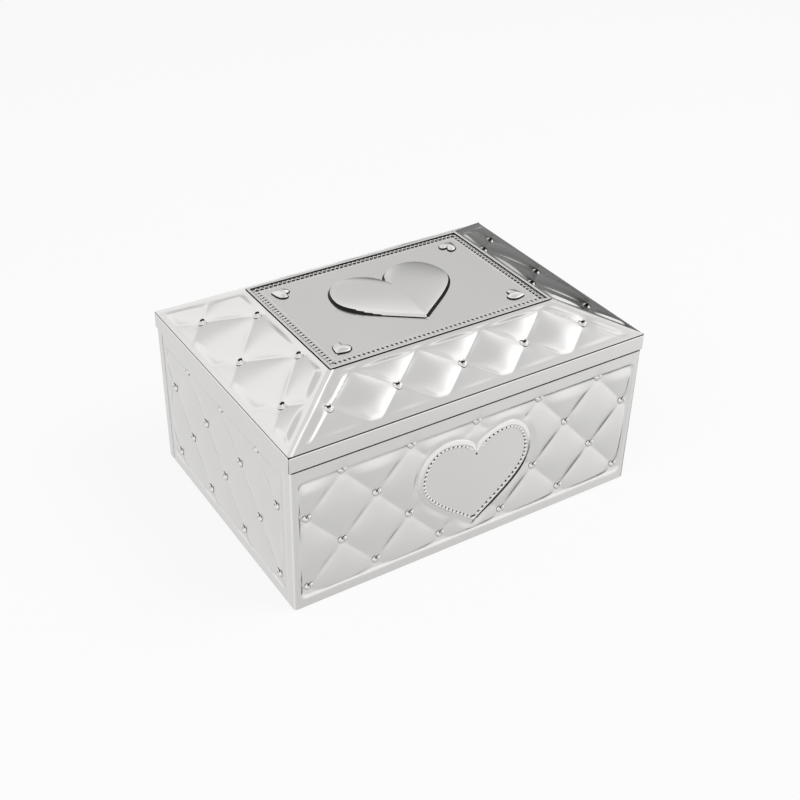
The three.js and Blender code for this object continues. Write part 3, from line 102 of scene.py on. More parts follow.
def reshape(piece, place, unit=mm):
    # every point goes where place(x, y, z) says
    flat = np.empty(len(piece.data.vertices) * 3)
    piece.data.vertices.foreach_get("co", flat)
    spots = place(*(flat.reshape(-1, 3) / unit).T)
    piece.data.vertices.foreach_set("co", (np.stack(spots, axis=1) * mm).ravel())
    piece.data.update()
    return piece


def addGrid(name, columns, rows, place):
    # a flat grid whose points are put where place(u, v) says, with u and v from 0 to 1
    piece = add(name, meshOps.primitive_grid_add, x_subdivisions=columns, y_subdivisions=rows, size=1)
    return reshape(piece, lambda x, y, z: place(x + 0.5, y + 0.5), 1)


def edit(piece, steps, isChosen=None):
    # runs operators in edit mode on the whole piece, or on the faces chosen by their normal
    pick(piece)
    bpy.ops.object.mode_set(mode="EDIT")
    if isChosen:
        mesh = bmesh.from_edit_mesh(piece.data)
        for face in mesh.faces:
            face.select_set(isChosen(face.normal))
        bmesh.update_edit_mesh(piece.data)
    else:
        meshOps.select_all(action="SELECT")
    for operator, values in steps:
        operator(**values)
    bpy.ops.object.mode_set(mode="OBJECT")
    return piece


def mergeDoubles(piece, distance=0.002):
    return edit(piece, [(meshOps.remove_doubles, {"threshold": distance * mm})])


def capEnds(piece):
    # closes the two open ends of a tube
    return edit(piece, [
        (meshOps.select_all, {"action": "DESELECT"}),
        (meshOps.select_mode, {"type": "EDGE"}),
        (meshOps.select_non_manifold, {}),
        (meshOps.fill_holes, {"sides": 0}),
        (meshOps.select_all, {"action": "SELECT"}),
        (meshOps.normals_make_consistent, {"inside": False}),
        (meshOps.select_mode, {"type": "VERT"}),
    ])


def addModifier(piece, kind, **values):
    pick(piece)
    modifier = piece.modifiers.new(kind, kind)
    for key, value in values.items():
        setattr(modifier, key, value)
    bpy.ops.object.modifier_apply(modifier=modifier.name)
    return piece


def thicken(piece, thickness):
    return addModifier(piece, "SOLIDIFY", thickness=thickness * mm, offset=-1)


def rounded(piece, width, segments=2, angle=30):
    return addModifier(piece, "BEVEL", width=width * mm, segments=segments,
                       limit_method="ANGLE", angle_limit=math.radians(angle))


def join(name, pieces):
    pick(*pieces)
    bpy.ops.object.join()
    return named(name)


def copyAt(piece, matrix):
    # a copy with its own mesh, set in place
    twin = piece.copy()
    twin.data = piece.data.copy()
    bpy.context.scene.collection.objects.link(twin)
    twin.data.transform(matrix)
    return twin


def at(x, y, z):
    return Matrix.Translation(Vector((x, y, z)) * mm)


def turn(angle, axis):
    return Matrix.Rotation(math.radians(angle), 4, axis)


def turned(side):
    # turns what faces -Y so that it faces the given side
    return turn({"front": 0, "left": -90, "rear": 180, "right": 90}[side], "Z")


def addBox(name, low, high):
    low = np.array(low, float)
    high = np.array(high, float)
    return applyPlace(add(name, meshOps.primitive_cube_add, size=1, location=(low + high) / 2 * mm,
                          scale=(high - low) * mm))


flatAngle = 0.5                 # degrees: flatter edges of a CAD mesh are dissolved
sharpAngle = 40                 # and sharper ones than this are broken


def refined(node, name, bevel=0.0, segments=2):
    # a copy of a CAD node with its edges broken
    piece = bpy.data.objects.new(name, frame["nodes"][node].data.copy())
    piece.data.name = name
    bpy.context.scene.collection.objects.link(piece)
    mergeDoubles(piece)
    edit(piece, [(meshOps.dissolve_limited, {"angle_limit": math.radians(flatAngle)})])
    if bevel:
        rounded(piece, bevel, segments, sharpAngle)
    return piece


def settle(piece, body, slot, nodes=(), angle=40, material=None):
    applyPlace(piece)
    bpy.ops.object.shade_smooth_by_angle(angle=math.radians(angle))
    if angle <= 40:
        addModifier(piece, "WEIGHTED_NORMAL", keep_sharp=True, weight=80)
    # pieces that carry painted shade keep both slots, an empty one getting the silver
    if paintedShade.name in piece.data.materials:
        for socket in piece.material_slots:
            socket.material = socket.material or silver
    else:
        piece.data.materials.clear()
        piece.data.materials.append(material or finishes[slot])
    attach(piece, body)
    if nodes:
        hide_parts(*nodes)
    print("made", piece.name, len(piece.data.polygons), "faces")


# Camera at the photograph's angle
photoCamera = {
    "lens": 56.24,
    "sensor": 36,
    "place": (-218.603, -337.916, 307.895),
    "forward": (0.45065, 0.69065, -0.56560),
    "up": (0.28864, 0.48682, 0.82443),
    "clipStart": 0.01,
}


def addCamera():
    camera = add("photoCamera", bpy.ops.object.camera_add, location=Vector(photoCamera["place"]) * mm)
    back = -Vector(photoCamera["forward"]).normalized()
    right = Vector(photoCamera["up"]).cross(back).normalized()
    camera.rotation_euler = Matrix((right, back.cross(right), back)).transposed().to_euler()
    camera.data.lens = photoCamera["lens"]
    camera.data.sensor_width = photoCamera["sensor"]
    camera.data.clip_start = photoCamera["clipStart"]
    bpy.context.scene.camera = camera


addCamera()
print("camera set")

# Studio: white floor, soft lamps, and a sky whose light and dark patches only the metal sees
studio = {
    "floorSize": 14.0,
    "floorColour": (0.86, 0.86, 0.86),
    "floorShare": 0.16,         # how much of the lit floor the camera sees
    "mirroredShare": 0.1,       # how much of it the metal sees
    "worldLevel": 0.62,
    "skyLevel": 1.02,
    "lampAim": (0, 0, 0.04),
    "lamps": {"keyLamp": ((0.45, -0.35, 0.9), 0.6, 3.2), "fillLamp": ((-0.7, -0.3, 0.7), 0.7, 1.92)},
}
patches = [
    # azimuth from +Y to the right, elevation, radius that is full, radius where it ends, grey
    (170, -68, 12, 62, 0.66),       # below, in front: shades the walls downwards
    (-33, -45, 20, 46, 0.80),       # below, on the left
    (190, 38, 12, 42, 0.78),        # in front, over the camera
    (285, 26, 12, 36, 0.78),        # on the left
    (112, 30, 8, 29, 1.42),         # bright window on the right
    (140, 44, 8, 22, 1.25),         # and in front
    (105, 76, 10, 40, 0.70),        # overhead
    (-8, 46, 8, 26, 0.98),          # seen in the left slope
    (4, 14, 6, 30, 0.72),           # behind
    (32, 30, 7, 17, 0.68),          # seen in the top plate
    (46, 2, 13, 26, 0.18),          # dark wall of the room, low on the right
    (72, 3, 14, 21, 0.01),
    (58, -24, 13, 20, 0.01),
    (92, -48, 12, 19, 0.01),
]


def addNode(nodes, kind, values=None, **settings):
    node = nodes.new("ShaderNode" + kind)
    for name, value in settings.items():
        setattr(node, name, value)
    for label, value in (values or {}).items():
        node.inputs[label].default_value = value
    return node


def link(tree, *rows):
    # each row is a node, its output, the next node and its input
    for start, output, end, label in rows:
        tree.links.new(start.outputs[output], end.inputs[label])


def onlyMaterial(name):
    material = bpy.data.materials.new(name)
    material.use_nodes = True
    material.node_tree.nodes.clear()
    return material, material.node_tree.nodes


def floorMaterial():
    # the camera sees it nearly white; metal looks through most of it at the sky below
    material, nodes = onlyMaterial("floorWhite")
    path = addNode(nodes, "LightPath")
    seen = addNode(nodes, "Math", {1: 1 - studio["floorShare"]}, operation="MULTIPLY")
    mirrored = addNode(nodes, "Math", {1: 1 - studio["mirroredShare"]}, operation="MULTIPLY")
    paper = addNode(nodes, "BsdfDiffuse", {"Color": (*studio["floorColour"], 1)})
    glow = addNode(nodes, "Emission", {"Strength": 1})
    clear = addNode(nodes, "BsdfTransparent")
    first = addNode(nodes, "MixShader")
    second = addNode(nodes, "MixShader")
    link(material.node_tree, (path, "Is Camera Ray", seen, 0), (path, "Is Glossy Ray", mirrored, 0),
         (seen, 0, first, 0), (paper, 0, first, 1), (glow, 0, first, 2),
         (mirrored, 0, second, 0), (first, 0, second, 1), (clear, 0, second, 2),
         (second, 0, addNode(nodes, "OutputMaterial"), 0))
    return material


def addLamp(name, place, size, power):
    lamp = add(name, bpy.ops.object.light_add, type="AREA", location=place)
    lamp.data.shape = "DISK"
    lamp.data.size = size
    lamp.data.energy = power
    lamp.rotation_euler = (Vector(studio["lampAim"]) - Vector(place)).to_track_quat("-Z", "Y").to_euler()
    lamp.visible_glossy = False


def towards(azimuth, elevation):
    a = math.radians(azimuth)
    e = math.radians(elevation)
    return Vector((math.sin(a) * math.cos(e), math.cos(a) * math.cos(e), math.sin(e)))


def addWorld():
    world = bpy.data.worlds.new("studioWorld")
    bpy.context.scene.world = world
    world.use_nodes = True
    tree = world.node_tree
    nodes = tree.nodes
    nodes.clear()
    place = addNode(nodes, "TexCoord")
    last = None
    for azimuth, elevation, inner, outer, grey in patches:
        near = addNode(nodes, "VectorMath", {1: towards(azimuth, elevation)}, operation="DOT_PRODUCT")
        edge = addNode(nodes, "MapRange", {"From Min": math.cos(math.radians(outer)),
                                           "From Max": math.cos(math.radians(inner))},
                       interpolation_type="SMOOTHSTEP")
        mix = addNode(nodes, "Mix", {"A": studio["skyLevel"], "B": grey}, data_type="FLOAT")
        link(tree, (place, "Generated", near, 0), (near, "Value", edge, "Value"),
             (edge, "Result", mix, "Factor"))
        if last:
            link(tree, (last, "Result", mix, "A"))
        last = mix
    sky, soft, white = [addNode(nodes, "Background", {"Color": (1, 1, 1, 1), "Strength": level})
                        for level in (1, studio["worldLevel"], 1)]
    link(tree, (last, "Result", sky, "Strength"))
    path = addNode(nodes, "LightPath")
    shader = soft
    for ray, light in (("Is Camera Ray", white), ("Is Transmission Ray", white), ("Is Glossy Ray", sky)):
        mix = addNode(nodes, "MixShader")
        link(tree, (path, ray, mix, 0), (shader, 0, mix, 1), (light, 0, mix, 2))
        shader = mix
    link(tree, (shader, 0, addNode(nodes, "OutputWorld"), 0))


floor = add("floor", meshOps.primitive_plane_add, size=studio["floorSize"])
floor.data.materials.append(floorMaterial())
for name, (place, size, power) in studio["lamps"].items():
    addLamp(name, place, size, power)
addWorld()
bpy.context.scene.view_settings.view_transform = "Standard"
print("studio set")


# Materials: one mottled finish with different colours, grain and gloss

def makeMottleGroup():
    # soft cloudy variation with fine grain on it, for roughness, tint and bump
    group = bpy.data.node_groups.new("mottle", "ShaderNodeTree")
    group.interface.new_socket("Vector", in_out="INPUT", socket_type="NodeSocketVector")
    for label, value in (("Cloud Scale", 40.0), ("Grain Scale", 900.0), ("Grain Share", 0.5)):
        socket = group.interface.new_socket(label, in_out="INPUT", socket_type="NodeSocketFloat")
        socket.default_value = value
    for label in ("Cloud", "Grain", "Value"):
        group.interface.new_socket(label, in_out="OUTPUT", socket_type="NodeSocketFloat")
    start = group.nodes.new("NodeGroupInput")
    end = group.nodes.new("NodeGroupOutput")
    cloud = addNode(group.nodes, "TexNoise", {"Detail": 4})
    grain = addNode(group.nodes, "TexNoise", {"Detail": 3})
    mix = addNode(group.nodes, "Mix", data_type="FLOAT")
    link(group, (start, "Vector", cloud, "Vector"), (start, "Cloud Scale", cloud, "Scale"),
         (start, "Vector", grain, "Vector"), (start, "Grain Scale", grain, "Scale"),
         (start, "Grain Share", mix, "Factor"), (cloud, "Fac", mix, "A"), (grain, "Fac", mix, "B"),
         (cloud, "Fac", end, "Cloud"), (grain, "Fac", end, "Grain"), (mix, "Result", end, "Value"))
    return group


mottleGroup = makeMottleGroup()
noiseRange = {"From Min": 0.3, "From Max": 0.7}     # where most of the noise lies


def spread(nodes, low, high):
    return addNode(nodes, "MapRange", {**noiseRange, "To Min": low, "To Max": high})


def finishMaterial(name, dark, light, metallic, roughness, bump, cloudScale=40, grainScale=900,
                   grainShare=0.5, stretch=None, thin=None, **sockets):
    # colour between dark and light, roughness between two values, and a fine bump; stretch draws the
    # pattern out along X, as in wood, and thin lets light through between the threads of a cloth
    material, nodes = onlyMaterial(name)
    tree = material.node_tree
    values = {label.replace("_", " "): value for label, value in sockets.items()}
    shader = addNode(nodes, "BsdfPrincipled", {"Metallic": metallic, **values})
    mapping = addNode(nodes, "Mapping", {"Scale": (stretch or 1, 1, 1)})
    mottle = addNode(nodes, "Group", {"Cloud Scale": cloudScale, "Grain Scale": grainScale,
                                      "Grain Share": grainShare}, node_tree=mottleGroup)
    tint = addNode(nodes, "Mix", {"A": (*dark, 1), "B": (*light, 1)}, data_type="RGBA")
    share = spread(nodes, 0, 1)
    rough = spread(nodes, *roughness)
    relief = addNode(nodes, "Bump", {"Strength": bump[0], "Distance": bump[1] * mm})
    link(tree, (addNode(nodes, "TexCoord"), "Object", mapping, "Vector"),
         (mapping, "Vector", mottle, "Vector"),
         (mottle, "Value", share, "Value"), (share, "Result", tint, "Factor"),
         (tint, "Result", shader, "Base Color"),
         (mottle, "Grain" if stretch else "Cloud", rough, "Value"), (rough, "Result", shader, "Roughness"),
         (mottle, "Grain", relief, "Height"), (relief, "Normal", shader, "Normal"),
         (shader, 0, addNode(nodes, "OutputMaterial"), "Surface"))
    if thin:
        holes = spread(nodes, *thin)
        link(tree, (mottle, "Grain", holes, "Value"), (holes, "Result", shader, "Alpha"))
    return material


silver = finishMaterial("satinSilver", (0.80, 0.79, 0.78), (0.84, 0.832, 0.82), 1, (0.17, 0.22),
                        (0.05, 0.02), cloudScale=25, grainScale=2500)
# painted shade and painted dark reflections: a near-black metal laid on joints, steps, stud feet and flanks
# in place of the silver
paintedShade = finishMaterial("paintedShadeSilver", (0.010, 0.010, 0.011), (0.045, 0.043, 0.042), 1, (0.4, 0.6),
                         (0.2, 0.03), cloudScale=90, grainScale=2500)
skin = finishMaterial("dollSkin", (0.82, 0.54, 0.42), (0.86, 0.60, 0.48), 0, (0.35, 0.45), (0.03, 0.02),
                      cloudScale=120, Coat_Weight=0.2)
satin = finishMaterial("pinkSatin", (0.78, 0.36, 0.44), (0.86, 0.46, 0.53), 0, (0.3, 0.45), (0.2, 0.05),
                       cloudScale=150, grainScale=2500, Sheen_Weight=0.3)
hairPaint = finishMaterial("hairPaint", (0.060, 0.030, 0.016), (0.12, 0.062, 0.032), 0, (0.35, 0.5),
                           (0.3, 0.08), cloudScale=200, grainScale=1500)
lipPaint = finishMaterial("lipPaint", (0.56, 0.10, 0.12), (0.62, 0.13, 0.15), 0, (0.3, 0.4), (0.0, 0.01))
eyePaint = finishMaterial("eyePaint", (0.020, 0.014, 0.012), (0.030, 0.02, 0.016), 0, (0.2, 0.3),
                          (0.0, 0.01))
finishes = {
    "silver_plate": silver,
    "velvet": finishMaterial("pinkVelvet", (0.50, 0.23, 0.27), (0.64, 0.33, 0.37), 0, (0.85, 1.0),
                             (0.5, 0.12), cloudScale=35, grainScale=2600, grainShare=0.35,
                             Sheen_Weight=0.6, Sheen_Roughness=0.35, Sheen_Tint=(1.0, 0.86, 0.88, 1),
                             Specular_IOR_Level=0.2),
    "felt": finishMaterial("greyFelt", (0.030, 0.030, 0.034), (0.055, 0.054, 0.060), 0, (0.9, 1.0),
                           (0.7, 0.25), cloudScale=60, grainScale=1800, grainShare=0.6, Sheen_Weight=0.3),
    "mirror_glass": finishMaterial("mirrorGlass", (0.90, 0.915, 0.92), (0.92, 0.93, 0.935), 1,
                                   (0.01, 0.02), (0.0, 0.01), cloudScale=8),
    "brass": finishMaterial("rolledBrass", (0.60, 0.43, 0.16), (0.70, 0.52, 0.22), 1, (0.25, 0.38),
                            (0.15, 0.03), cloudScale=45, grainScale=1500),
    "steel": finishMaterial("brightSteel", (0.50, 0.51, 0.52), (0.60, 0.61, 0.62), 1, (0.2, 0.32),
                            (0.1, 0.02), cloudScale=60, grainScale=1800),
    "spring_steel": finishMaterial("blueSteel", (0.16, 0.18, 0.22), (0.24, 0.26, 0.31), 1, (0.25, 0.35),
                                   (0.1, 0.02), cloudScale=90, grainScale=1800),
    "wood": finishMaterial("paleWood", (0.30, 0.17, 0.085), (0.46, 0.29, 0.16), 0, (0.45, 0.65),
                           (0.3, 0.1), cloudScale=180, grainScale=2160, grainShare=0.35, stretch=0.12),
    "tulle": finishMaterial("tulle", (0.86, 0.62, 0.68), (0.95, 0.78, 0.82), 0, (0.7, 0.9), (0.2, 0.05),
                            cloudScale=200, grainScale=2400, thin=(0.45, 0.8), Sheen_Weight=0.3),
}
print("materials made")


def darken(piece, isDark):
    # faces in a joint, step or flank that isDark picks get painted shade or a painted dark reflection: the
    # near-black metal in the second slot
    piece.data.materials.clear()
    piece.data.materials.append(silver)
    piece.data.materials.append(paintedShade)
    for face in piece.data.polygons:
        face.material_index = int(isDark(face.center / mm, face.normal))
    return piece


# Hearts: one outline, drawn by four curves, serves the plaque, the domes and the studs
heartShares = {"wide": 0.64, "crest": 0.52, "tip": 0.2, "flank": 0.4, "crown": 0.22, "bend": 0.26,
               "dip": 0.5, "curveSteps": 60}


def curvePoints(*ends):
    t = np.linspace(0, 1, heartShares["curveSteps"], endpoint=False)[:, None]
    a, b, c, d = (np.array(end, float) for end in ends)
    return (1 - t) ** 3 * a + 3 * (1 - t) ** 2 * t * b + 3 * (1 - t) * t * t * c + t ** 3 * d


def heartOutline(halfWidth, tip, lobe, notch, count):
    # closed, from the tip up the right side and back down the left; even steps along the line
    k = heartShares
    tall = tip + lobe
    wide = tall * k["wide"] - tip
    crest = halfWidth * k["crest"]
    bend = halfWidth * k["bend"]
    dip = notch + (lobe - notch) * k["dip"]
    half = np.concatenate([
        curvePoints((0, -tip), (halfWidth * k["flank"], tall * k["tip"] - tip),
                    (halfWidth, tall * k["flank"] - tip), (halfWidth, wide)),
        curvePoints((halfWidth, wide), (halfWidth, wide + tall * k["crown"]), (crest + bend, lobe),
                    (crest, lobe)),
        curvePoints((crest, lobe), (crest - bend, lobe), (0, dip), (0, notch)),
        [(0, notch)],
    ])
    whole = np.concatenate([half, half[-2:0:-1] * (-1, 1)])
    closed = np.concatenate([whole, whole[:1]])
    steps = np.concatenate([[0], np.cumsum(np.hypot(*np.diff(closed, axis=0).T))])
    spots = np.linspace(0, steps[-1], count + 1)[:-1]
    return np.stack([np.interp(spots, steps, line) for line in closed.T], axis=1)


def insetOutline(outline, distance):
    # each point moves inwards along its own normal; the line runs counter-clockwise
    ahead = np.roll(outline, -1, axis=0) - np.roll(outline, 1, axis=0)
    ahead /= np.hypot(ahead[:, 0], ahead[:, 1])[:, None]
    spots = outline + np.stack([-ahead[:, 1], ahead[:, 0]], axis=1) * distance
    crossed = spots[:, 0] * outline[:, 0] < 0
    crossed[0] = True
    tip = spots[~crossed][:, 1].min()
    spots[crossed] = (0, tip)           # near the sharp tip the line stops at the middle
    return spots


def reliefFromRings(name, rings):
    # rings is a list of (outline points, height); a single point closes the last ring
    count = len(rings[0][0])
    tables = np.array([np.broadcast_to(points, (count, 2)) for points, height in rings])
    levels = np.array([height for points, height in rings])

    def place(u, v):
        column = np.rint(u * count).astype(int) % count
        row = np.rint(v * (len(rings) - 1)).astype(int)
        spots = tables[row, column]
        return spots[:, 0], spots[:, 1], levels[row]

    return mergeDoubles(addGrid(name, count, len(rings) - 1, place))


# inwards and upwards, as shares of the flank's width and height
flankShares = [(0.04, 0.08), (0.2, 0.26), (0.35, 0.41), (0.5, 0.56), (0.68, 0.75), (0.85, 0.93), (1, 1)]


def domedHeart(name, outline, rise, flank, root, crown, rings):
    # steep flank of the given width, then a dome that rises by crown to the middle
    middle = np.array([[0, outline[:, 1].mean()]])
    edge = insetOutline(outline, flank)
    levels = [(outline, -root), (outline, 0)]
    for inset, height in flankShares:
        levels.append((insetOutline(outline, flank * inset), rise * height))
    for step in range(1, rings + 1):
        share = step / rings
        levels.append((edge + (middle - edge) * share, rise + crown * (1 - (1 - share) ** 2)))
    return reliefFromRings(name, levels)


# Quilting: valleys between the studs of a diagonal lattice, with a pillow in each diamond
def pillow(x, y, halfX, halfY, soft, power):
    s = (x / halfX + y / halfY) / 2
    t = (x / halfX - y / halfY) / 2
    across = np.sqrt(np.sin(np.pi * s) ** 2 + soft ** 2) - soft
    along = np.sqrt(np.sin(np.pi * t) ** 2 + soft ** 2) - soft
    return (across * along / (math.sqrt(1 + soft * soft) - soft) ** 2) ** power


def dimples(x, y, places, depth, radius):
    total = np.zeros_like(x)
    for px, py in places:
        total -= depth * np.exp(-((x - px) ** 2 + (y - py) ** 2) / radius ** 2)
    return total


def insideField(x, y, halfX, low, high, radius):
    # distance inwards from the edge of a field with rounded corners
    qx = np.abs(x) - (halfX - radius)
    qy = np.abs(y - (low + high) / 2) - ((high - low) / 2 - radius)
    return radius - np.hypot(np.maximum(qx, 0), np.maximum(qy, 0)) - np.minimum(np.maximum(qx, qy), 0)


# Studs: painted shade round the foot of each, and a painted dark reflection between the lobes of those on the
# lid
stud = {
    "halfWidth": 2.05, "tall": 3.8, "notchShare": 0.3, "rise": 0.55, "flank": 0.45, "root": 0.6,
    "crown": 0.75, "rings": 3, "points": 24,
    "darkFoot": 0.32, "darkLow": -0.1, "darkLeft": -1.2, "darkRight": 0.55, "upright": 0.8,
}


# painted shade on the steep faces round a stud's foot
def atStudFoot(spot, normal):
    return abs(normal.z) < stud["upright"] and spot.z < stud["darkFoot"]


# painted dark reflection on the upper middle of a lid stud, between its lobes, and painted shade round its
# foot
def onLidStud(spot, normal):
    isMiddle = spot.y > stud["darkLow"] and stud["darkLeft"] < spot.x < stud["darkRight"]
    return isMiddle or atStudFoot(spot, normal)


def studMesh(name, isDark):
    half = stud["tall"] / 2
    outline = heartOutline(stud["halfWidth"], half, half, half * stud["notchShare"], stud["points"])
    return darken(domedHeart(name, outline, stud["rise"], stud["flank"], stud["root"], stud["crown"],
                             stud["rings"]), isDark)


studShape = studMesh("stud", atStudFoot)
lidStudShape = studMesh("lidStud", onLidStud)

# Walls
wall = {
    "spacing": 0.5, "cornerRadius": 1.4, "thickness": 1.2, "jointDepth": 0.35, "jointWidth": 0.5,
    "fieldEdge": 2.7, "sideEdge": 1.8, "fieldTop": 4.8, "fieldBottom": 4.2, "fieldRadius": 2.4,
    "step": 1.0, "depth": 0.62, "rise": 1.0, "fade": 2.4, "topFade": 6.0, "soft": 0.12, "power": 0.56,
    "halfPitchFront": 13.7, "halfPitchSide": 13.85, "rowPitch": 15.2, "topDrop": 6.1,
    "dimple": 0.3, "dimpleRadius": 2.6, "flatMargin": 0.6, "flatFade": 1.2,
}
panelLow, panelHigh = boxOf("rear_panel")
caseX, caseY, caseTop = panelHigh       # half width and half depth of the metal over the corners
caseBottom = panelLow[2]
flangeDepth = caseY - panelLow[1]
halfSide = boxOf("left_panel")[1][1]

plaque = {
    "halfWidth": 24.7, "tip": 7.5, "lobe": 49.8, "notch": 43.0, "points": 150, "root": 1.0,
    "foot": -0.1, "flank": 1.6, "rimRise": 0.6, "rimInner": 0.2, "fieldLevel": 0.3, "clear": 3.0,
    "beadInset": 2.5, "beadRadius": 0.72, "beadPitch": 1.9, "beadTall": 1.1,
    "pitInset": 2.65, "pitRadius": 0.4, "pitLift": 0.06,
    # where and how wide the painted dark reflection down the right of the rim lies
    "reflectionLow": -18.5, "reflectionHigh": 2.0, "reflectionWidth": 0.95, "reflectionTuck": 0.3, "reflectionDrop": 0.25,
    "reflectionLeast": 0.12, "reflectionMost": 0.4,     # how far the dark part of the rim leans to the right
    "reflectionFine": 3, "reflectionRound": 0.6, "reflectionLift": 0.1, "footSink": 0.1, "studClear": 0.8,
    "coarsePoints": 60,
    "flankShares": ((0.1, 0.35), (0.9, 0.96), (1, 1)),
    "rimShares": ((0.3, 0), (0.55, 0.15), (1, 1)),
    "fieldShares": (0.12, 0.4, 0.7, 1),
}
plaqueMiddle = (plaque["tip"] + plaque["lobe"]) / 2


def plaqueOutline(count):
    p = plaque
    return heartOutline(p["halfWidth"], plaqueMiddle - p["tip"], p["lobe"] - plaqueMiddle,
                        p["notch"] - plaqueMiddle, count)


def besidePlaque(x, z):
    # 0 under the plaque and 1 well away from it
    outline = plaqueOutline(plaque["coarsePoints"]) + (0, plaqueMiddle)
    away = np.full(np.shape(x), 99.0)
    inside = np.zeros(np.shape(x), bool)
    for (ax, az), (bx, bz) in zip(outline, np.roll(outline, -1, axis=0)):
        dx = bx - ax
        dz = bz - az
        share = np.clip(((x - ax) * dx + (z - az) * dz) / (dx ** 2 + dz ** 2), 0, 1)
        away = np.minimum(away, np.hypot(x - ax - dx * share, z - az - dz * share))
        if dz:
            inside ^= ((z < az) != (z < bz)) & (x < ax + (z - az) * dx / dz)
    return np.where(inside, 0, smooth(away, 0, plaque["clear"]))


def isFree(x, z):
    return True


def clearOfPlaque(x, z):
    return besidePlaque(np.array([x]), np.array([z]))[0] >= plaque["studClear"]


def clearOfFittings(x, z):
    leafLow, leafHigh = boxOf("right_body_leaf")
    near = stud["halfWidth"]
    if z > leafLow[2] - near and leafLow[0] - near < abs(x) < leafHigh[0] + near:
        return False
    return all(math.hypot(x - cx, z - cz) >= radius + near for cx, cz, radius in rearFlats)


def flatUnder(node):
    # a round flat on the back, seen from outside
    low, high = boxOf(node)
    return -(low[0] + high[0]) / 2, (low[2] + high[2]) / 2, (high[0] - low[0]) / 2 + wall["flatMargin"]


rearFlats = [flatUnder(node) for node in ("key_escutcheon", "movement_screw_1", "movement_screw_2")]
frontField = caseX - wall["fieldEdge"]
sideField = halfSide - wall["sideEdge"]
# half width of the quilted field, half pitch, where a stud may be, flats
walls = {
    "front": (frontField, wall["halfPitchFront"], clearOfPlaque, ()),
    "rear": (frontField, wall["halfPitchFront"], clearOfFittings, rearFlats),
    "left": (sideField, wall["halfPitchSide"], isFree, ()),
    "right": (sideField, wall["halfPitchSide"], isFree, ()),
}


def studPlaces(halfField, halfPitch, mayBe):
    places = []
    row = 0
    while caseTop - wall["topDrop"] - row * wall["rowPitch"] > wall["fieldBottom"] + stud["halfWidth"]:
        z = caseTop - wall["topDrop"] - row * wall["rowPitch"]
        reach = int((halfField - stud["halfWidth"]) // halfPitch)
        places += [(i * halfPitch, z) for i in range(-reach, reach + 1)
                   if (i + row) % 2 == 0 and mayBe(i * halfPitch, z)]
        row += 1
    return places


def wallRelief(x, z, side, places):
    w = wall
    halfField, halfPitch, mayBe, flats = walls[side]
    inside = insideField(x, z, halfField, w["fieldBottom"], caseTop - w["fieldTop"], w["fieldRadius"])
    puff = pillow(x, caseTop - w["topDrop"] - z, halfPitch, w["rowPitch"], w["soft"], w["power"])
    swell = w["rise"] * smooth(inside, 0, w["fade"]) * smooth(caseTop - w["fieldTop"] - z, 0, w["topFade"])
    height = smooth(inside, 0, w["step"]) * (swell * puff - w["depth"])
    height += dimples(x, z, places, w["dimple"], w["dimpleRadius"])
    for cx, cz, radius in flats:
        height *= smooth(np.hypot(x - cx, z - cz), radius, radius + w["flatFade"])
    if side == "front":
        beside = besidePlaque(x, z)
        height = height * beside + (plaque["foot"] - plaque["footSink"]) * (1 - beside)
    return height


def addPanel(side):
    # front and rear sheets go round the corners, and the other two lie between them
    w = wall
    places = studPlaces(*walls[side][:3])
    wraps = side in ("front", "rear")
    distance = caseY if wraps else caseX
    radius = w["cornerRadius"]
    straight = caseX - radius
    arc = radius * math.pi / 2
    length = 2 * (straight + arc + flangeDepth - radius) if wraps else 2 * halfSide
    tall = caseTop - caseBottom

    def wrapped(u, v):
        s = (u - 0.5) * length
        z = caseBottom + v * tall
        angle = np.clip((np.abs(s) - straight) / radius, 0, math.pi / 2)
        beyond = np.maximum(np.abs(s) - straight - arc, 0)
        lift = wallRelief(s, z, side, places) * (np.abs(s) < straight)
        x = np.sign(s) * (np.minimum(np.abs(s), straight) + radius * np.sin(angle))
        return x, -distance + radius * (1 - np.cos(angle)) + beyond - lift, z

    def between(u, v):
        x = (u - 0.5) * length
        z = caseBottom + v * tall
        tuck = w["jointDepth"] * (1 - smooth(halfSide - np.abs(x), 0, w["jointWidth"]))
        return x, -distance - wallRelief(x, z, side, places) + tuck, z

    # painted shade in the joint at each end of a side panel
    def inJoint(spot, normal):
        return not wraps and abs(spot.y) > halfSide - w["jointWidth"] / 2

    sheet = addGrid("sheet", int(length / w["spacing"]), int(tall / w["spacing"]),
                    wrapped if wraps else between)
    sheet.data.transform(turned(side))
    thicken(sheet, w["thickness"])
    parts = [darken(sheet, inJoint)]
    for x, z in places:
        lift = distance + float(wallRelief(np.array([x]), np.array([z]), side, places)[0])
        parts.append(copyAt(studShape, turned(side) @ at(x, -lift, z) @ turn(90, "X")))
    return parts


def addReflectionStrip():
    # painted dark reflection: a near-black strip outside the rim, down its right side
    p = plaque
    line = plaqueOutline(p["points"] * p["reflectionFine"])
    line = line[(line[:, 0] > 0) & (line[:, 1] > p["reflectionLow"]) & (line[:, 1] < p["reflectionHigh"])]
    ahead = np.gradient(line, axis=0)
    ahead /= np.hypot(ahead[:, 0], ahead[:, 1])[:, None]

    def place(u, v):
        row = np.rint(u * (len(line) - 1)).astype(int)
        share = 1 - v
        wide = p["reflectionWidth"] * np.sin(np.pi * u) ** p["reflectionRound"]
        reach = share * (wide + p["reflectionTuck"]) - p["reflectionTuck"]
        x = line[row, 0] + ahead[row, 1] * reach
        y = line[row, 1] - ahead[row, 0] * reach
        return x, y, p["foot"] + p["reflectionLift"] - p["reflectionDrop"] * share * share

    reflectionStrip = addGrid("reflectionStrip", p["points"], 3, place)
    reflectionStrip.data.materials.append(paintedShade)
    return reflectionStrip


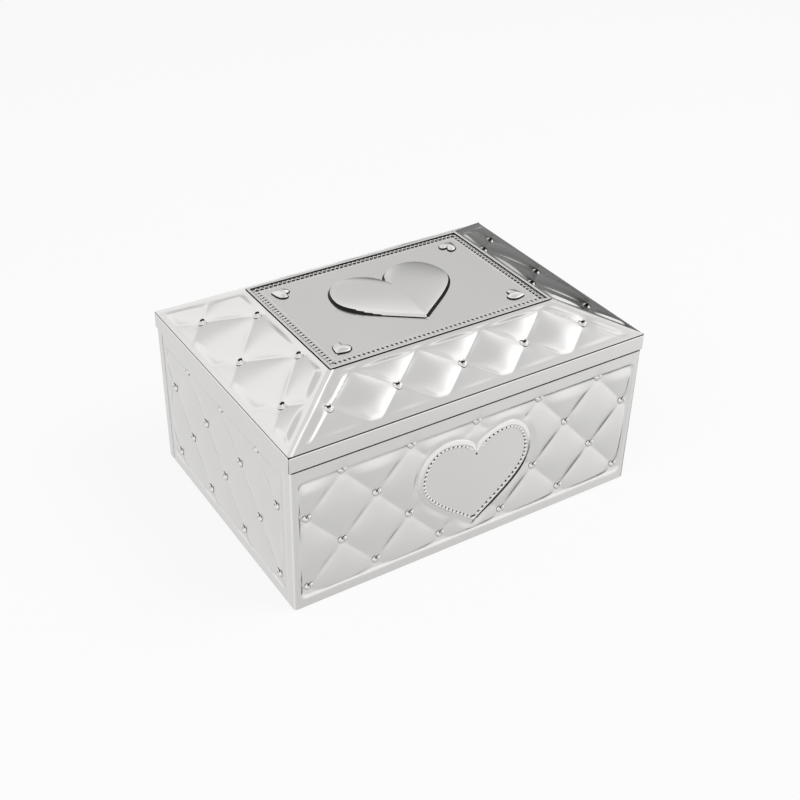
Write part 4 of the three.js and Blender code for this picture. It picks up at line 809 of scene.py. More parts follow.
def darkSpot(radius, place):
    # painted shade: a flat dark disc standing for the shadowed bottom of a small pit
    spot = applyPlace(add("pit", meshOps.primitive_circle_add, vertices=8, radius=radius * mm,
                          fill_type="NGON", location=Vector(place) * mm))
    spot.data.materials.append(paintedShade)
    return spot


bead = {"segments": 8, "rings": 6, "cut": -0.3}


def beadMesh():
    # half a ball of unit radius in millimetres, its open side sunk in what carries it
    ball = add("bead", meshOps.primitive_uv_sphere_add, segments=bead["segments"],
               ring_count=bead["rings"], radius=mm)
    return edit(ball, [(meshOps.bisect, {"plane_co": (0, 0, bead["cut"] * mm), "plane_no": (0, 0, 1),
                                         "clear_inner": True})])


beadShape = beadMesh()


def addPlaque():
    p = plaque
    outline = plaqueOutline(p["points"])
    rings = [(outline, -p["root"]), (outline, p["foot"])]
    for share, level in p["flankShares"]:
        height = p["foot"] + (p["rimRise"] - p["foot"]) * level
        rings.append((insetOutline(outline, p["flank"] * share), height))
    for share, level in p["rimShares"]:
        height = p["rimRise"] + (p["fieldLevel"] - p["rimRise"]) * level
        rings.append((insetOutline(outline, p["flank"] + p["rimInner"] * share), height))
    edge = insetOutline(outline, p["flank"] + p["rimInner"])
    rings += [(edge * (1 - share), p["fieldLevel"]) for share in p["fieldShares"]]

    # painted dark reflection on the rim's faces that lean to the right
    def onRimReflection(spot, normal):
        return (p["reflectionLow"] < spot.y < p["reflectionHigh"]
                and p["reflectionLeast"] < normal.x < p["reflectionMost"])

    parts = [darken(reliefFromRings("plaque", rings), onRimReflection), addReflectionStrip()]
    line = insetOutline(outline, p["beadInset"])
    length = np.hypot(*(np.roll(line, -1, axis=0) - line).T).sum()
    fine = plaqueOutline(int(length / p["beadPitch"]) * 2)
    size = Matrix.Diagonal((p["beadRadius"], p["beadRadius"], p["beadRadius"] * p["beadTall"], 1))
    for x, y in insetOutline(fine, p["beadInset"])[::2]:
        parts.append(copyAt(beadShape, at(x, y, p["fieldLevel"]) @ size))
    # painted shade between the beads
    for x, y in insetOutline(fine, p["pitInset"])[1::2]:
        parts.append(darkSpot(p["pitRadius"], (x, y, p["fieldLevel"] + p["pitLift"])))
    for each in parts:
        each.data.transform(at(0, -caseY, plaqueMiddle) @ turn(90, "X"))
    return parts


for side in walls:
    parts = addPanel(side)
    if side == "front":
        parts += addPlaque()
    settle(join(side + "Panel", parts), "case", "silver_plate", [side + "_panel"])
print("walls made")

# Lid
lid = {
    "rows": 54, "thickness": 1.2, "flange": 0.36, "flangeInset": 0.3, "slopeGap": 0.3, "rimGap": 0.1,
    "border": 1.5, "topBorder": 0.9, "hipBorder": 2.3, "step": 1.0, "depth": 0.2, "fade": 3.0,
    "hipFade": 2.6, "hipBlend": 1.6, "soft": 0.08, "power": 0.54, "lowShare": 0.2,
    "rise": {"front": 1.5, "rear": 0.7, "left": 1.5, "right": 1.1},
    "beadWidth": 0.9, "beadRise": 0.25, "dimple": 0.45, "dimpleRadius": 3.0,
    "studMargin": 3.4, "rearSink": 0.6, "jointUpright": 0.5, "merge": 0.02,
}
topLow, topHigh = boxOf("lid_top_plate")
halfTopX = topHigh[0] + lid["slopeGap"]
halfTopY = topHigh[1] + lid["slopeGap"]
halfLowX, halfLowY, rimTop = boxOf("lid_rim_band")[1]
slopeBottom = rimTop + lid["rimGap"]
hipRise = boxOf("lid_hip_cover")[1][2] - slopeBottom
# row and otherRow say how far up the slope the studs of every second column sit, 0 for none
longSlope = {"columns": 236, "halfPitch": 13.4, "rowPitch": 11.0, "row": 0.48, "otherRow": 0,
             "low": halfLowX, "high": halfTopX, "out": halfLowY, "run": halfLowY - halfTopY}
shortSlope = {"columns": 166, "halfPitch": 15.6, "rowPitch": 16.4, "row": 0.33, "otherRow": 0.868,
              "low": halfLowY, "high": halfTopY, "out": halfLowX, "run": halfLowX - halfTopX}
slopes = {"front": (longSlope, shortSlope), "rear": (longSlope, shortSlope),
          "left": (shortSlope, longSlope), "right": (shortSlope, longSlope)}


def slopeRelief(x, d, length, slope, places, rise):
    k = lid
    edge = slope["low"] + (slope["high"] - slope["low"]) * d / length
    toHip = (edge - np.abs(x)) * length / math.hypot(slope["low"] - slope["high"], length)
    ends = np.minimum(d - k["border"], length - k["topBorder"] - d)
    field = smooth(ends, 0, k["step"]) * smooth(toHip - k["hipBorder"], 0, k["hipFade"])
    upward = d - slope["row"] * length
    puff = pillow(x, upward, slope["halfPitch"], slope["rowPitch"], k["soft"], k["power"])
    s = x / slope["halfPitch"]
    t = upward / slope["rowPitch"]
    diamond = np.floor((s + t) / 2) - np.floor((s - t) / 2)         # below 0 in the lowest diamonds
    swell = rise * smooth(ends, 0, k["fade"]) * puff * np.where(diamond >= 0, 1, k["lowShare"])
    height = field * (swell - k["depth"]) + dimples(x, d, places, k["dimple"], k["dimpleRadius"])
    bead = k["beadRise"] * np.sqrt(np.clip(1 - (toHip / k["beadWidth"]) ** 2, 0, 1))
    return height + bead, toHip


def slopeStuds(length, slope):
    places = []
    reach = int(slope["low"] // slope["halfPitch"]) + 1
    for column in range(-reach, reach + 1):
        row = slope["otherRow"] if column % 2 else slope["row"]
        x = column * slope["halfPitch"]
        edge = slope["low"] + (slope["high"] - slope["low"]) * row
        if row and abs(x) < edge - lid["studMargin"]:
            places.append((x, row * length))
    return places


def addSlope(side):
    slope, other = slopes[side]
    run = slope["run"]
    length = math.hypot(run, hipRise)
    places = slopeStuds(length, slope)
    normal = Vector((0, -hipRise, run)).normalized()
    hipNormal = (normal + Vector((hipRise, 0, other["run"])).normalized()).normalized()
    inset = lid["flangeInset"]

    def surface(x, d):
        height, toHip = slopeRelief(x, d, length, slope, places, lid["rise"][side])
        weight = smooth(toHip, 0, lid["hipBlend"])
        nx = (1 - weight) * hipNormal.x * np.sign(x)
        ny = weight * normal.y + (1 - weight) * hipNormal.y
        nz = weight * normal.z + (1 - weight) * hipNormal.z
        y = -slope["out"] + inset + d * (run - inset) / length
        z = slopeBottom + lid["flange"] + d * (hipRise - lid["flange"]) / length
        return x + nx * height, y + ny * height, z + nz * height

    def place(u, v):
        # the first row is the foot of a short flange that turns down into the rim band
        share = np.maximum(v * (1 + 1 / lid["rows"]) - 1 / lid["rows"], 0)
        x = (2 * u - 1) * (slope["low"] - inset + (slope["high"] - slope["low"] + inset) * share)
        x, y, z = surface(x, share * length)
        return x, y, np.where(v < 0.4 / lid["rows"], slopeBottom, z)

    sheet = addGrid("slope", slope["columns"], lid["rows"], place)
    sheet.data.transform(turned(side))
    studs = []
    tilt = Matrix.Rotation(math.atan2(hipRise, run), 4, "X")
    sink = normal * (lid["rearSink"] if side == "rear" else 0)
    for x, d in places:
        spot = Vector([float(c[0]) for c in surface(np.array([x]), np.array([d]))]) - sink
        studs.append(copyAt(lidStudShape, turned(side) @ at(*spot) @ tilt))
    return sheet, studs


def addHipCover():
    made = [addSlope(side) for side in slopes]
    cover = mergeDoubles(join("hipCover", [sheet for sheet, studs in made]), lid["merge"])
    thicken(cover, lid["thickness"])
    joint = slopeBottom + lid["flange"]
    # painted shade on the upright faces of the flange at the seam over the rim band
    darken(cover, lambda spot, normal: spot.z < joint and abs(normal.z) < lid["jointUpright"])
    return join("hipCover", [cover] + [each for sheet, studs in made for each in studs])


settle(addHipCover(), "lid", "silver_plate", ["lid_hip_cover"])
print("slopes made")

rim = {"thickness": 1.2, "bevel": 0.36, "gap": 0.12}


def addRimBand():
    # four strips mitred at the corners
    low, high = boxOf("lid_rim_band")
    strips = []
    for side, half, out in (("front", high[0], high[1]), ("rear", high[0], high[1]),
                            ("left", high[1], high[0]), ("right", high[1], high[0])):
        strip = addBox("strip", (-half, -out, low[2]), (half, -out + rim["thickness"], high[2]))
        reshape(strip, lambda x, y, z: (x - np.sign(x) * (y + out + rim["gap"] / 2), y, z))
        rounded(strip, rim["bevel"], 3)
        strip.data.transform(turned(side))
        strips.append(strip)
    return join("rimBand", strips)


settle(addRimBand(), "lid", "silver_plate", ["lid_rim_band"])

topPlate = {
    "field": 79.0, "railWidth": 1.0, "railRise": 0.7, "step": 0.15, "bevel": 0.14,
    "ornamentInset": 2.35, "ornamentPitch": 1.9, "ornamentRadius": 0.66, "ornamentWire": 0.26,
    "pitRadius": 0.74, "beadInset": 4.1, "beadPitch": 1.05, "beadRadius": 0.36,
    "heart": (24.5, 20.0, 19.0, 10.0), "heartRise": 1.25, "heartFlank": 0.95, "heartCrown": 1.15,
    "corner": (3.6, 3.6, 3.6, 1.8), "cornerRise": 0.8, "cornerFlank": 0.6, "cornerCrown": 0.7,
    "heartPoints": 140, "heartRings": 10, "cornerPoints": 40, "cornerRings": 4, "cornerInset": 9.6,
    "root": 0.3, "upright": 0.72,
    "darkFrom": -1.0, "darkFade": 13.0, "darkLeast": 0.3, "darkCorner": 0.4, "darkRail": 0.8,
    "railUpright": 0.8, "ornamentBend": 1.3, "ornamentStart": 0.15, "ornamentTall": 1.15,
    "ornamentShift": 0.2, "pitShift": 0.25, "pitLift": 0.08,
}


def onLargeHeart(spot, normal):
    # painted dark reflection on the flank of the large heart, thinning out towards its tip on the left
    t = topPlate
    thin = min(1, max(t["darkLeast"], 1 + (spot.y - t["darkFrom"]) / t["darkFade"]))
    share = 1 if spot.x > 0 else thin
    return abs(normal.z) < t["upright"] and spot.z < t["heartRise"] * share


# painted dark reflection round the flank of a corner heart
def onCornerHeart(spot, normal):
    return abs(normal.z) < topPlate["upright"] and spot.z < topPlate["darkCorner"]


def stirrupMesh():
    # a small half ring that opens along +Y, standing proud of the plate
    t = topPlate

    def place(u, v):
        bend = (u * t["ornamentBend"] - t["ornamentStart"]) * math.pi
        angle = v * 2 * math.pi
        reach = t["ornamentRadius"] + t["ornamentWire"] * np.cos(angle)
        y = -reach * np.sin(bend) * t["ornamentTall"] + t["ornamentShift"]
        return reach * np.cos(bend), y, t["ornamentWire"] * np.sin(angle)

    ring = mergeDoubles(addGrid("stirrup", 8, 6, place))
    ring.data.materials.append(silver)
    # with a painted shade disc in the ring's hollow
    return join("stirrup", [ring, darkSpot(t["pitRadius"], (0, t["pitShift"], t["pitLift"]))])


def alongFrame(halfX, halfY, pitch):
    # places and turns of what repeats along a rectangle, facing inwards
    spots = []
    for half, distance, angle in ((halfX, halfY, 0), (halfY, halfX, 90), (halfX, halfY, 180),
                                  (halfY, halfX, 270)):
        count = max(2, round(2 * half / pitch))
        spots += [(-half + 2 * half * (step + 0.5) / count, -distance, angle) for step in range(count)]
    return spots


def addTopPlate():
    t = topPlate
    halfX, halfY, high = topHigh
    top = t["field"]
    plate = addBox("plate", (-halfX, -halfY, topLow[2]), (halfX, halfY, top + t["railRise"]))
    edit(plate, [(meshOps.inset, {"thickness": t["railWidth"] * mm}),
                 (meshOps.inset, {"thickness": t["step"] * mm}),
                 (bpy.ops.transform.translate, {"value": (0, 0, -t["railRise"] * mm)})],
         lambda normal: normal.z > 0.9)
    rounded(plate, t["bevel"], 2, 20)
    # painted shade on the upright faces of the rail's inner step
    darkTop = top + t["railRise"] * t["darkRail"]
    parts = [darken(plate, lambda spot, normal: spot.z < darkTop and abs(normal.z) < t["railUpright"])]
    for inset, pitch, shape, scale in ((t["ornamentInset"], t["ornamentPitch"], stirrupShape, 1),
                                       (t["beadInset"], t["beadPitch"], beadShape, t["beadRadius"])):
        for x, y, angle in alongFrame(halfX - inset, halfY - inset, pitch):
            parts.append(copyAt(shape, turn(angle, "Z") @ at(x, y, top) @ Matrix.Scale(scale, 4)))
    dome, small = [
        darken(domedHeart(kind, heartOutline(*t[kind], t[kind + "Points"]), t[kind + "Rise"],
                          t[kind + "Flank"], t["root"], t[kind + "Crown"], t[kind + "Rings"]), isDark)
        for kind, isDark in (("heart", onLargeHeart), ("corner", onCornerHeart))]
    parts.append(copyAt(dome, at(0, 0, top)))
    for sx, sy in ((-1, -1), (1, -1), (1, 1), (-1, 1)):
        aim = math.degrees(math.atan2(sy * halfTopY, sx * halfTopX)) + 90
        place = at(sx * (halfTopX - t["cornerInset"]), sy * (halfTopY - t["cornerInset"]), top)
        parts.append(copyAt(small, place @ turn(aim, "Z")))
    bpy.data.objects.remove(dome)
    bpy.data.objects.remove(small)
    return join("topPlate", parts)


stirrupShape = stirrupMesh()
settle(addTopPlate(), "lid", "silver_plate", ["lid_top_plate"], 35)
print("lid made")

# CAD nodes whose shape is right get their finish
for slot, nodes in (("wood", ("front_board", "rear_board", "left_board", "right_board", "lid_board")),
                    ("velvet", ("wall_lining", "floor_lining", "chamber_wall"))):
    for node in nodes:
        for socket in frame["nodes"][node].material_slots:
            socket.material = finishes[slot]

# Plain pieces: node, slot, width of the broken edge
plainPieces = [
    ("base_board", "wood", 0.4), ("case_trim", "silver_plate", 0.2), ("deck_board", "velvet", 0.4),
    ("left_divider", "velvet", 0.6), ("right_divider", "velvet", 0.6), ("cross_divider", "velvet", 0.6),
    ("lid_frame", "wood", 0.3), ("lid_lining", "velvet", 0.3),
    ("left_hinge_pin", "steel", 0.12), ("right_hinge_pin", "steel", 0.12),
    ("movement_screw_1", "steel", 0.15), ("movement_screw_2", "steel", 0.15),
    ("bedplate", "brass", 0.15), ("comb", "steel", 0.05),
    ("comb_screw_1", "steel", 0.12), ("comb_screw_2", "steel", 0.12),
    ("front_bridge", "brass", 0.15), ("cylinder_bracket", "brass", 0.15),
    ("governor_bracket", "brass", 0.1), ("spring_barrel", "brass", 0.08), ("barrel_cover", "brass", 0.1),
    ("winding_arbor", "steel", 0.1), ("governor_worm", "steel", 0.0), ("governor_fly", "steel", 0.05),
    ("stop_plunger", "steel", 0.1), ("spindle", "brass", 0.05), ("turntable", "silver_plate", 0.2),
    ("foot_cap", "silver_plate", 0.25),
]
liningTuck = 0.3                        # the lid lining goes a little under its frame


def bodyHolding(node):
    bodies = frame["record"]["behaviour"]["bodies"]
    return next(body for body, nodes in bodies.items() if node in nodes)


def camelCase(node):
    first, *rest = node.split("_")
    return first + "".join(word.capitalize() for word in rest)


for node, slot, edge in plainPieces:
    name = "combPlate" if node == "comb" else camelCase(node)
    piece = refined(node, name + "Piece", edge)
    if node == "lid_lining":
        low, high = boxOf(node)
        grow = 1 + 2 * liningTuck / (high - low)
        piece.data.transform(Matrix.Diagonal((grow[0], grow[1], 1, 1)))
    settle(piece, bodyHolding(node), slot, [node], 35)
print("plain pieces made")

# Hinge leaves with rivet heads
leaf = {"thickness": 0.8, "bevel": 0.15, "rivets": (0.14, 0.5, 0.86), "rivet": (1.15, 1.15, 0.6),
        "aboveFoot": 3.6, "belowTop": 1.7}


def addLeaf(side, part):
    node = side + "_" + part + "_leaf"
    low, high = boxOf(node)
    parts = [refined(node, node.replace("_", "") + "Piece", leaf["bevel"])]
    face = boxOf("left_lid_leaf")[0][1] + leaf["thickness"]
    height = low[2] + leaf["aboveFoot"] if part == "body" else high[2] - leaf["belowTop"]
    for share in leaf["rivets"]:
        place = at(low[0] + (high[0] - low[0]) * share, face, height)
        parts.append(copyAt(beadShape, place @ turn(-90, "X") @ Matrix.Diagonal((*leaf["rivet"], 1))))
    settle(join(camelCase(node), parts), bodyHolding(node), "silver_plate", [node], 35)


for side in ("left", "right"):
    for part in ("body", "lid"):
        addLeaf(side, part)

# Winding key and its round plate on the back
keyBevel = 0.45
keyPlate = {"bevel": 0.3, "beads": 16, "beadCircle": 4.6, "beadRadius": 0.4}
settle(refined("winding_key", "windingKeyPiece", keyBevel, 3), "winding", "silver_plate",
       ["winding_key"])


def addKeyPlate():
    low, high = boxOf("key_escutcheon")
    parts = [refined("key_escutcheon", "keyPlatePiece", keyPlate["bevel"], 3)]
    for step in range(keyPlate["beads"]):
        angle = step * 2 * math.pi / keyPlate["beads"]
        place = at((low[0] + high[0]) / 2 + keyPlate["beadCircle"] * math.cos(angle), high[1],
                   (low[2] + high[2]) / 2 + keyPlate["beadCircle"] * math.sin(angle))
        parts.append(copyAt(beadShape, place @ turn(-90, "X") @ Matrix.Scale(keyPlate["beadRadius"], 4)))
    settle(join("keyPlate", parts), "case", "silver_plate", ["key_escutcheon"], 35)


addKeyPlate()

# Mirror with a ground edge
mirror = {"groundWidth": 2.2, "groundDepth": 0.6, "bevel": 0.08}


def addMirror():
    low, high = boxOf("lid_mirror")
    glass = addBox("mirror", low, high)
    edit(glass, [(meshOps.inset, {"thickness": mirror["groundWidth"] * mm})],
         lambda normal: normal.z < -0.9)

    def ground(x, y, z):
        atEdge = np.maximum(np.abs(x) - high[0], np.abs(y) - high[1]) > -0.1
        return x, y, z + mirror["groundDepth"] * ((z < low[2] + 0.1) & atEdge)

    reshape(glass, ground)
    rounded(glass, mirror["bevel"], 2, 5)
    settle(glass, "lid", "mirror_glass", ["lid_mirror"], 4)


addMirror()

# Felt under the base, with softly rounded corners
feltBevel = 0.25


def addBaseFelt():
    felt = refined("base_felt", "baseFelt", feltBevel)
    settle(felt, "case", "felt", ["base_felt"], 30)


addBaseFelt()

# Ring rolls: stuffed velvet rolls whose round tops grip a ring between them
ringRoll = {
    "around": 72, "along": 60, "endRound": 3.2, "sag": 0.25, "sagShare": 0.6, "margin": 0.05,
    "pucker": 0.12, "puckerPace": 1.9, "puckerLean": 3, "puckerFade": 6, "drop": 0.12,
    "sideRound": 0.62, "topRound": 0.9, "footRound": 0.35, "endWidth": 0.25, "endHeight": 0.55,
}


def addRingRoll(index):
    node = f"ring_roll_{index}"
    low, high = boxOf(node)
    k = ringRoll
    half = (high[1] - low[1]) / 2 - k["margin"]
    middle = (high[1] + low[1]) / 2
    tall = high[2] - low[2]
    length = high[0] - low[0]

    def place(u, v):
        # the section is a slot outline with a flat foot, drawn in toward both ends
        along = v * length
        near = np.minimum(along, length - along)
        closing = np.sqrt(np.clip(1 - (1 - np.clip(near / k["endRound"], 0, 1)) ** 2, 0, 1))
        angle = (u + 0.25) * 2 * math.pi
        across = np.sign(np.cos(angle)) * np.abs(np.cos(angle)) ** k["sideRound"]
        power = np.where(np.sin(angle) > 0, k["topRound"], k["footRound"])
        up = np.sign(np.sin(angle)) * np.abs(np.sin(angle)) ** power
        ripple = k["pucker"] * np.sin(along * k["puckerPace"] + k["puckerLean"] * across)
        ripple *= np.exp(-near / k["puckerFade"])
        swell = 1 - k["sag"] / half * (1 - np.sin(math.pi * along / length)) * k["sagShare"]
        wideShare = k["endWidth"] + (1 - k["endWidth"]) * closing
        tallShare = k["endHeight"] + (1 - k["endHeight"]) * closing
        y = middle + (half * across * swell - ripple * across) * wideShare
        z = low[2] + tall / 2 * (1 + up * tallShare) + ripple * (up > 0) - k["drop"]
        return low[0] + along, y, np.maximum(z, low[2])

    roll = capEnds(mergeDoubles(addGrid(f"ringRoll{index}", k["around"], k["along"], place), 0.01))
    settle(roll, "case", "velvet", [node], 60)


for index in (1, 2, 3):
    addRingRoll(index)
print("rolls made")


# Wound springs and other tubes: a round wire follows a line of points
def addWire(name, line, radius, sides=8):
    points = np.array(line, float)
    ahead = np.gradient(points, axis=0)
    ahead /= np.linalg.norm(ahead, axis=1)[:, None]
    side = np.cross(ahead, np.roll(ahead, 1, axis=0) + (0.01, 0.02, 1.0))
    side /= np.linalg.norm(side, axis=1)[:, None]
    for i in range(1, len(side)):
        side[i] = side[i - 1] - ahead[i] * np.dot(side[i - 1], ahead[i])
        side[i] /= np.linalg.norm(side[i])
    up = np.cross(ahead, side)
    radii = np.broadcast_to(radius, len(points))

    def place(u, v):
        row = np.rint(v * (len(points) - 1)).astype(int)
        angle = (u * 2 * math.pi)[:, None]
        return (points[row] + radii[row][:, None] * (np.cos(angle) * side[row] + np.sin(angle) * up[row])).T

    return capEnds(mergeDoubles(addGrid(name, sides, len(points) - 1, place), 0.001))


def helix(radius, angle, height):
    return np.stack([radius * np.cos(angle), radius * np.sin(angle), height], axis=1)


def settleSpring(spring, slot, node):
    # a spring between the case and a moving body: shaded smooth, given its finish, its CAD node hidden and
    # its placement baked in; it joins no body
    pick(spring)
    bpy.ops.object.shade_smooth()
    spring.data.materials.append(finishes[slot])
    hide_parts(node)
    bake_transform(spring)


returnSpring = {"radius": 1.55, "wire": 0.28, "turns": 4.5, "points": 110}


def addReturnSpring():
    k = returnSpring
    low, high = boxOf("return_spring")
    x, y, z = (low + high) / 2
    share = np.linspace(0, 1, k["points"])
    height = low[2] + k["wire"] + share * (high[2] - low[2] - 2 * k["wire"])
    coil = helix(k["radius"], share * k["turns"] * 2 * math.pi, height) + (x, y, 0)
    settleSpring(addWire("returnSpring", coil, k["wire"]), "spring_steel", "return_spring")


addReturnSpring()

# Mainspring: a flat ribbon wound inside the barrel
mainspring = {"turns": 5.5, "inner": 3.2, "outer": 7.5, "thickness": 0.3, "columns": 260,
              "growth": 0.8}


def addMainspring():
    k = mainspring
    low, high = boxOf("mainspring")
    middle = sum(boxOf("spring_barrel")) / 2

    def ribbon(u, v):
        angle = u * k["turns"] * 2 * math.pi
        reach = k["inner"] + (k["outer"] - k["inner"]) * u ** k["growth"]
        return (middle[0] + reach * np.cos(angle), low[1] + v * (high[1] - low[1]),
                middle[2] + reach * np.sin(angle))

    band = thicken(addGrid("mainspringBand", k["columns"], 2, ribbon), k["thickness"])
    settle(band, "barrel", "spring_steel", ["mainspring"])


addMainspring()

# Pinned cylinder: the frame's drum with its tune pins
pins = {"tracks": 18, "places": 48, "perTrack": 12, "radius": 0.22, "height": 0.32, "drumRadius": 5.5,
        "drumBevel": 0.08, "seed": 4}


def addPinnedCylinder():
    rng = np.random.default_rng(pins["seed"])
    combLow, combHigh = boxOf("comb")
    middle = sum(boxOf("pinned_cylinder")) / 2
    parts = [refined("pinned_cylinder", "drum", pins["drumBevel"])]
    pin = add("pin", meshOps.primitive_cylinder_add, vertices=6, radius=pins["radius"] * mm,
              depth=pins["height"] * 2 * mm)
    for track in range(pins["tracks"]):
        x = combLow[0] + (track + 0.5) * (combHigh[0] - combLow[0]) / pins["tracks"]
        for step in rng.choice(pins["places"], pins["perTrack"], replace=False):
            angle = step * 2 * math.pi / pins["places"]
            place = at(x, middle[1] + pins["drumRadius"] * math.cos(angle),
                       middle[2] + pins["drumRadius"] * math.sin(angle))
            parts.append(copyAt(pin, place @ Matrix.Rotation(angle - math.pi / 2, 4, "X")))
    bpy.data.objects.remove(pin)
    settle(join("pinnedCylinder", parts), "cylinder", "brass", ["pinned_cylinder"], 35)


addPinnedCylinder()
print("movement made")

# The doll is modelled upright about the middle of its spring, in millimetres, front towards -Y,
# and laid forward by a quarter turn, as it lies in the closed box.
doll = {
    "foldBehind": 6.5, "foldHeight": 46.7,
    "springHalf": 5.0, "springRadius": 2.1, "springWaist": 0.1, "springEnd": 0.25, "wire": 0.27,
    "turns": 6, "coilPoints": 200, "halvings": 40, "legBack": 0.28,
    "toe": 6.4, "ankle": 9.3, "knee": 15.5, "hip": 24.3, "waist": 28.7, "chest": 33.0, "shoulder": 34.9,
    "neck": 36.9, "head": 40.3, "headWide": 1.95, "headDeep": 2.2, "headTall": 2.55,
    "jawTaper": 0.34, "hairline": 0.62, "napeDrop": 1.05, "strands": 34, "strandDepth": 0.012,
    "hairUnder": 0.9, "hairOver": 0.155,
    "bunBack": 2.0, "bunRise": 2.0, "bunRadius": 1.2, "bunTwist": 0.05,
}
foldPoint = Vector((0, boxOf("turntable")[0][1] + doll["foldBehind"], doll["foldHeight"]))
layDown = at(*foldPoint) @ turn(90, "X")
legSides = ((-1, -doll["legBack"]), (1, doll["legBack"]))     # one foot a little before the other


def throughTable(knots, values, t):
    # smooth line through a few values
    knots = np.array(knots, float)
    values = np.array(values, float)
    slope = np.gradient(values, knots, axis=0)
    i = np.clip(np.searchsorted(knots, t) - 1, 0, len(knots) - 2)
    step = knots[i + 1] - knots[i]
    s = (t - knots[i]) / step
    if values.ndim > 1:
        step = step[:, None]
        s = s[:, None]
    return ((1 + 2 * s) * (1 - s) ** 2 * values[i] + s * (1 - s) ** 2 * step * slope[i]
            + s * s * (3 - 2 * s) * values[i + 1] + s * s * (s - 1) * step * slope[i + 1])


def bent(values, count, knots=(0, 0.5, 1)):
    return throughTable(knots, values, np.linspace(0, 1, count))


def loft(name, sections, sides, rows):
    # sections run along the body: height, centre x, centre y, half width, half depth
    table = np.array(sections, float)

    def place(u, v):
        height = table[0, 0] + v * (table[-1, 0] - table[0, 0])
        middle = throughTable(table[:, 0], table[:, 1:], height)
        angle = u * 2 * math.pi
        return (middle[:, 0] + middle[:, 2] * np.cos(angle), middle[:, 1] + middle[:, 3] * np.sin(angle),
                height)

    return capEnds(mergeDoubles(addGrid(name, sides, rows, place), 0.001))


def addBall(name, centre=(0, 0, 0), radii=(1, 1, 1), segments=48, rings=32):
    ball = add(name, meshOps.primitive_uv_sphere_add, segments=segments, ring_count=rings, radius=mm)
    ball.data.transform(at(*centre) @ Matrix.Diagonal((*radii, 1)))
    return ball


def layPiece(piece, material, nodes=()):
    piece.data.transform(layDown)
    settle(piece, "ballerina", "doll_plastic", nodes, 60, material)


def addLegs():
    d = doll
    return join("legs", [loft("leg", [
        (d["toe"] + 1.2, side * 0.30, back, 0.42, 0.42),
        (d["ankle"], side * 0.42, back * 1.3, 0.50, 0.55),
        (d["knee"] - 3.0, side * 0.78, back * 1.2 + 0.2, 0.92, 0.98),
        (d["knee"], side * 0.85, back, 0.82, 0.84),
        (d["knee"] + 3.6, side * 1.05, back * 0.6, 1.12, 1.15),
        (d["hip"] - 1.0, side * 1.2, 0.1, 1.42, 1.5),
        (d["hip"] + 1.2, side * 0.95, 0.1, 1.3, 1.4),
    ], 18, 44) for side, back in legSides])


def addShoes():
    d = doll
    parts = []
    for side, back in legSides:
        parts.append(loft("shoe", [
            (d["toe"], side * 0.28, back, 0.34, 0.30),
            (d["toe"] + 0.35, side * 0.28, back, 0.46, 0.42),
            (d["toe"] + 1.5, side * 0.32, back, 0.54, 0.58),
            (d["ankle"] - 0.5, side * 0.40, back * 1.3, 0.60, 0.70),
            (d["ankle"] + 0.1, side * 0.42, back * 1.3, 0.56, 0.62),
        ], 18, 16))
        for rise in (0.7, 1.5):
            line = [(side * 0.42 + 0.62 * math.cos(a), back * 1.3 + 0.66 * math.sin(a),
                     d["ankle"] + rise + 0.25 * math.sin(a)) for a in np.linspace(0, 2 * math.pi, 25)]
            parts.append(addWire("ribbon", line, 0.12, 6))
    return join("shoes", parts)


def addTorso():
    d = doll
    parts = [loft("torso", [
        (d["chest"], 0, -0.1, 2.05, 1.45), (d["shoulder"] - 0.5, 0, 0, 2.55, 1.25),
        (d["shoulder"] + 0.45, 0, 0.05, 2.2, 1.0), (d["neck"] - 1.1, 0, 0.1, 0.95, 0.85),
        (d["neck"], 0, 0.05, 0.72, 0.75), (d["head"] - 1.6, 0, -0.1, 0.75, 0.8),
    ], 28, 30)]
    for side in (-1, 1):
        arm = bent([(side * 2.55, 0, d["shoulder"] - 0.25), (side * 6.3, -0.35, 41.3),
                    (side * 1.55, -0.5, 47.3)], 36)
        radii = bent([0.78, 0.62, 0.5, 0.48, 0.32, 0.3], 36, (0, 0.15, 0.45, 0.55, 0.9, 1))
        parts.append(addWire("arm", arm, radii, 14))
        hand = bent([(side * 1.62, -0.5, 47.2), (side * 1.0, -0.62, 48.0), (side * 0.45, -0.7, 48.45)], 14)
        parts.append(addWire("hand", hand, bent([0.3, 0.42, 0.3, 0.14], 14, (0, 0.35, 0.75, 1)), 12))
    parts.append(addHead())
    return join("figure", parts)


faceForms = [
    # how far it stands out, then its middle and half width across, and its middle and half height
    (0.16, 0, 0.13, -0.16, 0.2),            # nose
    (0.05, 0, math.inf, 0.12, 0.12),        # brow
    (-0.07, 0.36, 0.17, 0, 0.12),           # eye sockets
    (0.06, 0, 0.2, -0.86, 0.16),            # chin
    (0.03, 0.5, 0.2, -0.3, 0.22),           # cheeks
]


def addHead():
    # an egg with brow, nose and chin of the plainest kind
    d = doll

    def place(x, y, z):
        front = smooth(-y, 0.2, 0.9)
        deep = y * (1 - 0.12 * smooth(-z, 0.1, 1.0))
        for out, side, wide, level, tall in faceForms:
            deep = deep - out * front * np.exp(-((np.abs(x) - side) / wide) ** 2 - ((z - level) / tall) ** 2)
        return (x * (1 - d["jawTaper"] * smooth(-z, 0.05, 1.0)) * d["headWide"], deep * d["headDeep"],
                z * d["headTall"] + d["head"])

    return reshape(addBall("head"), place)


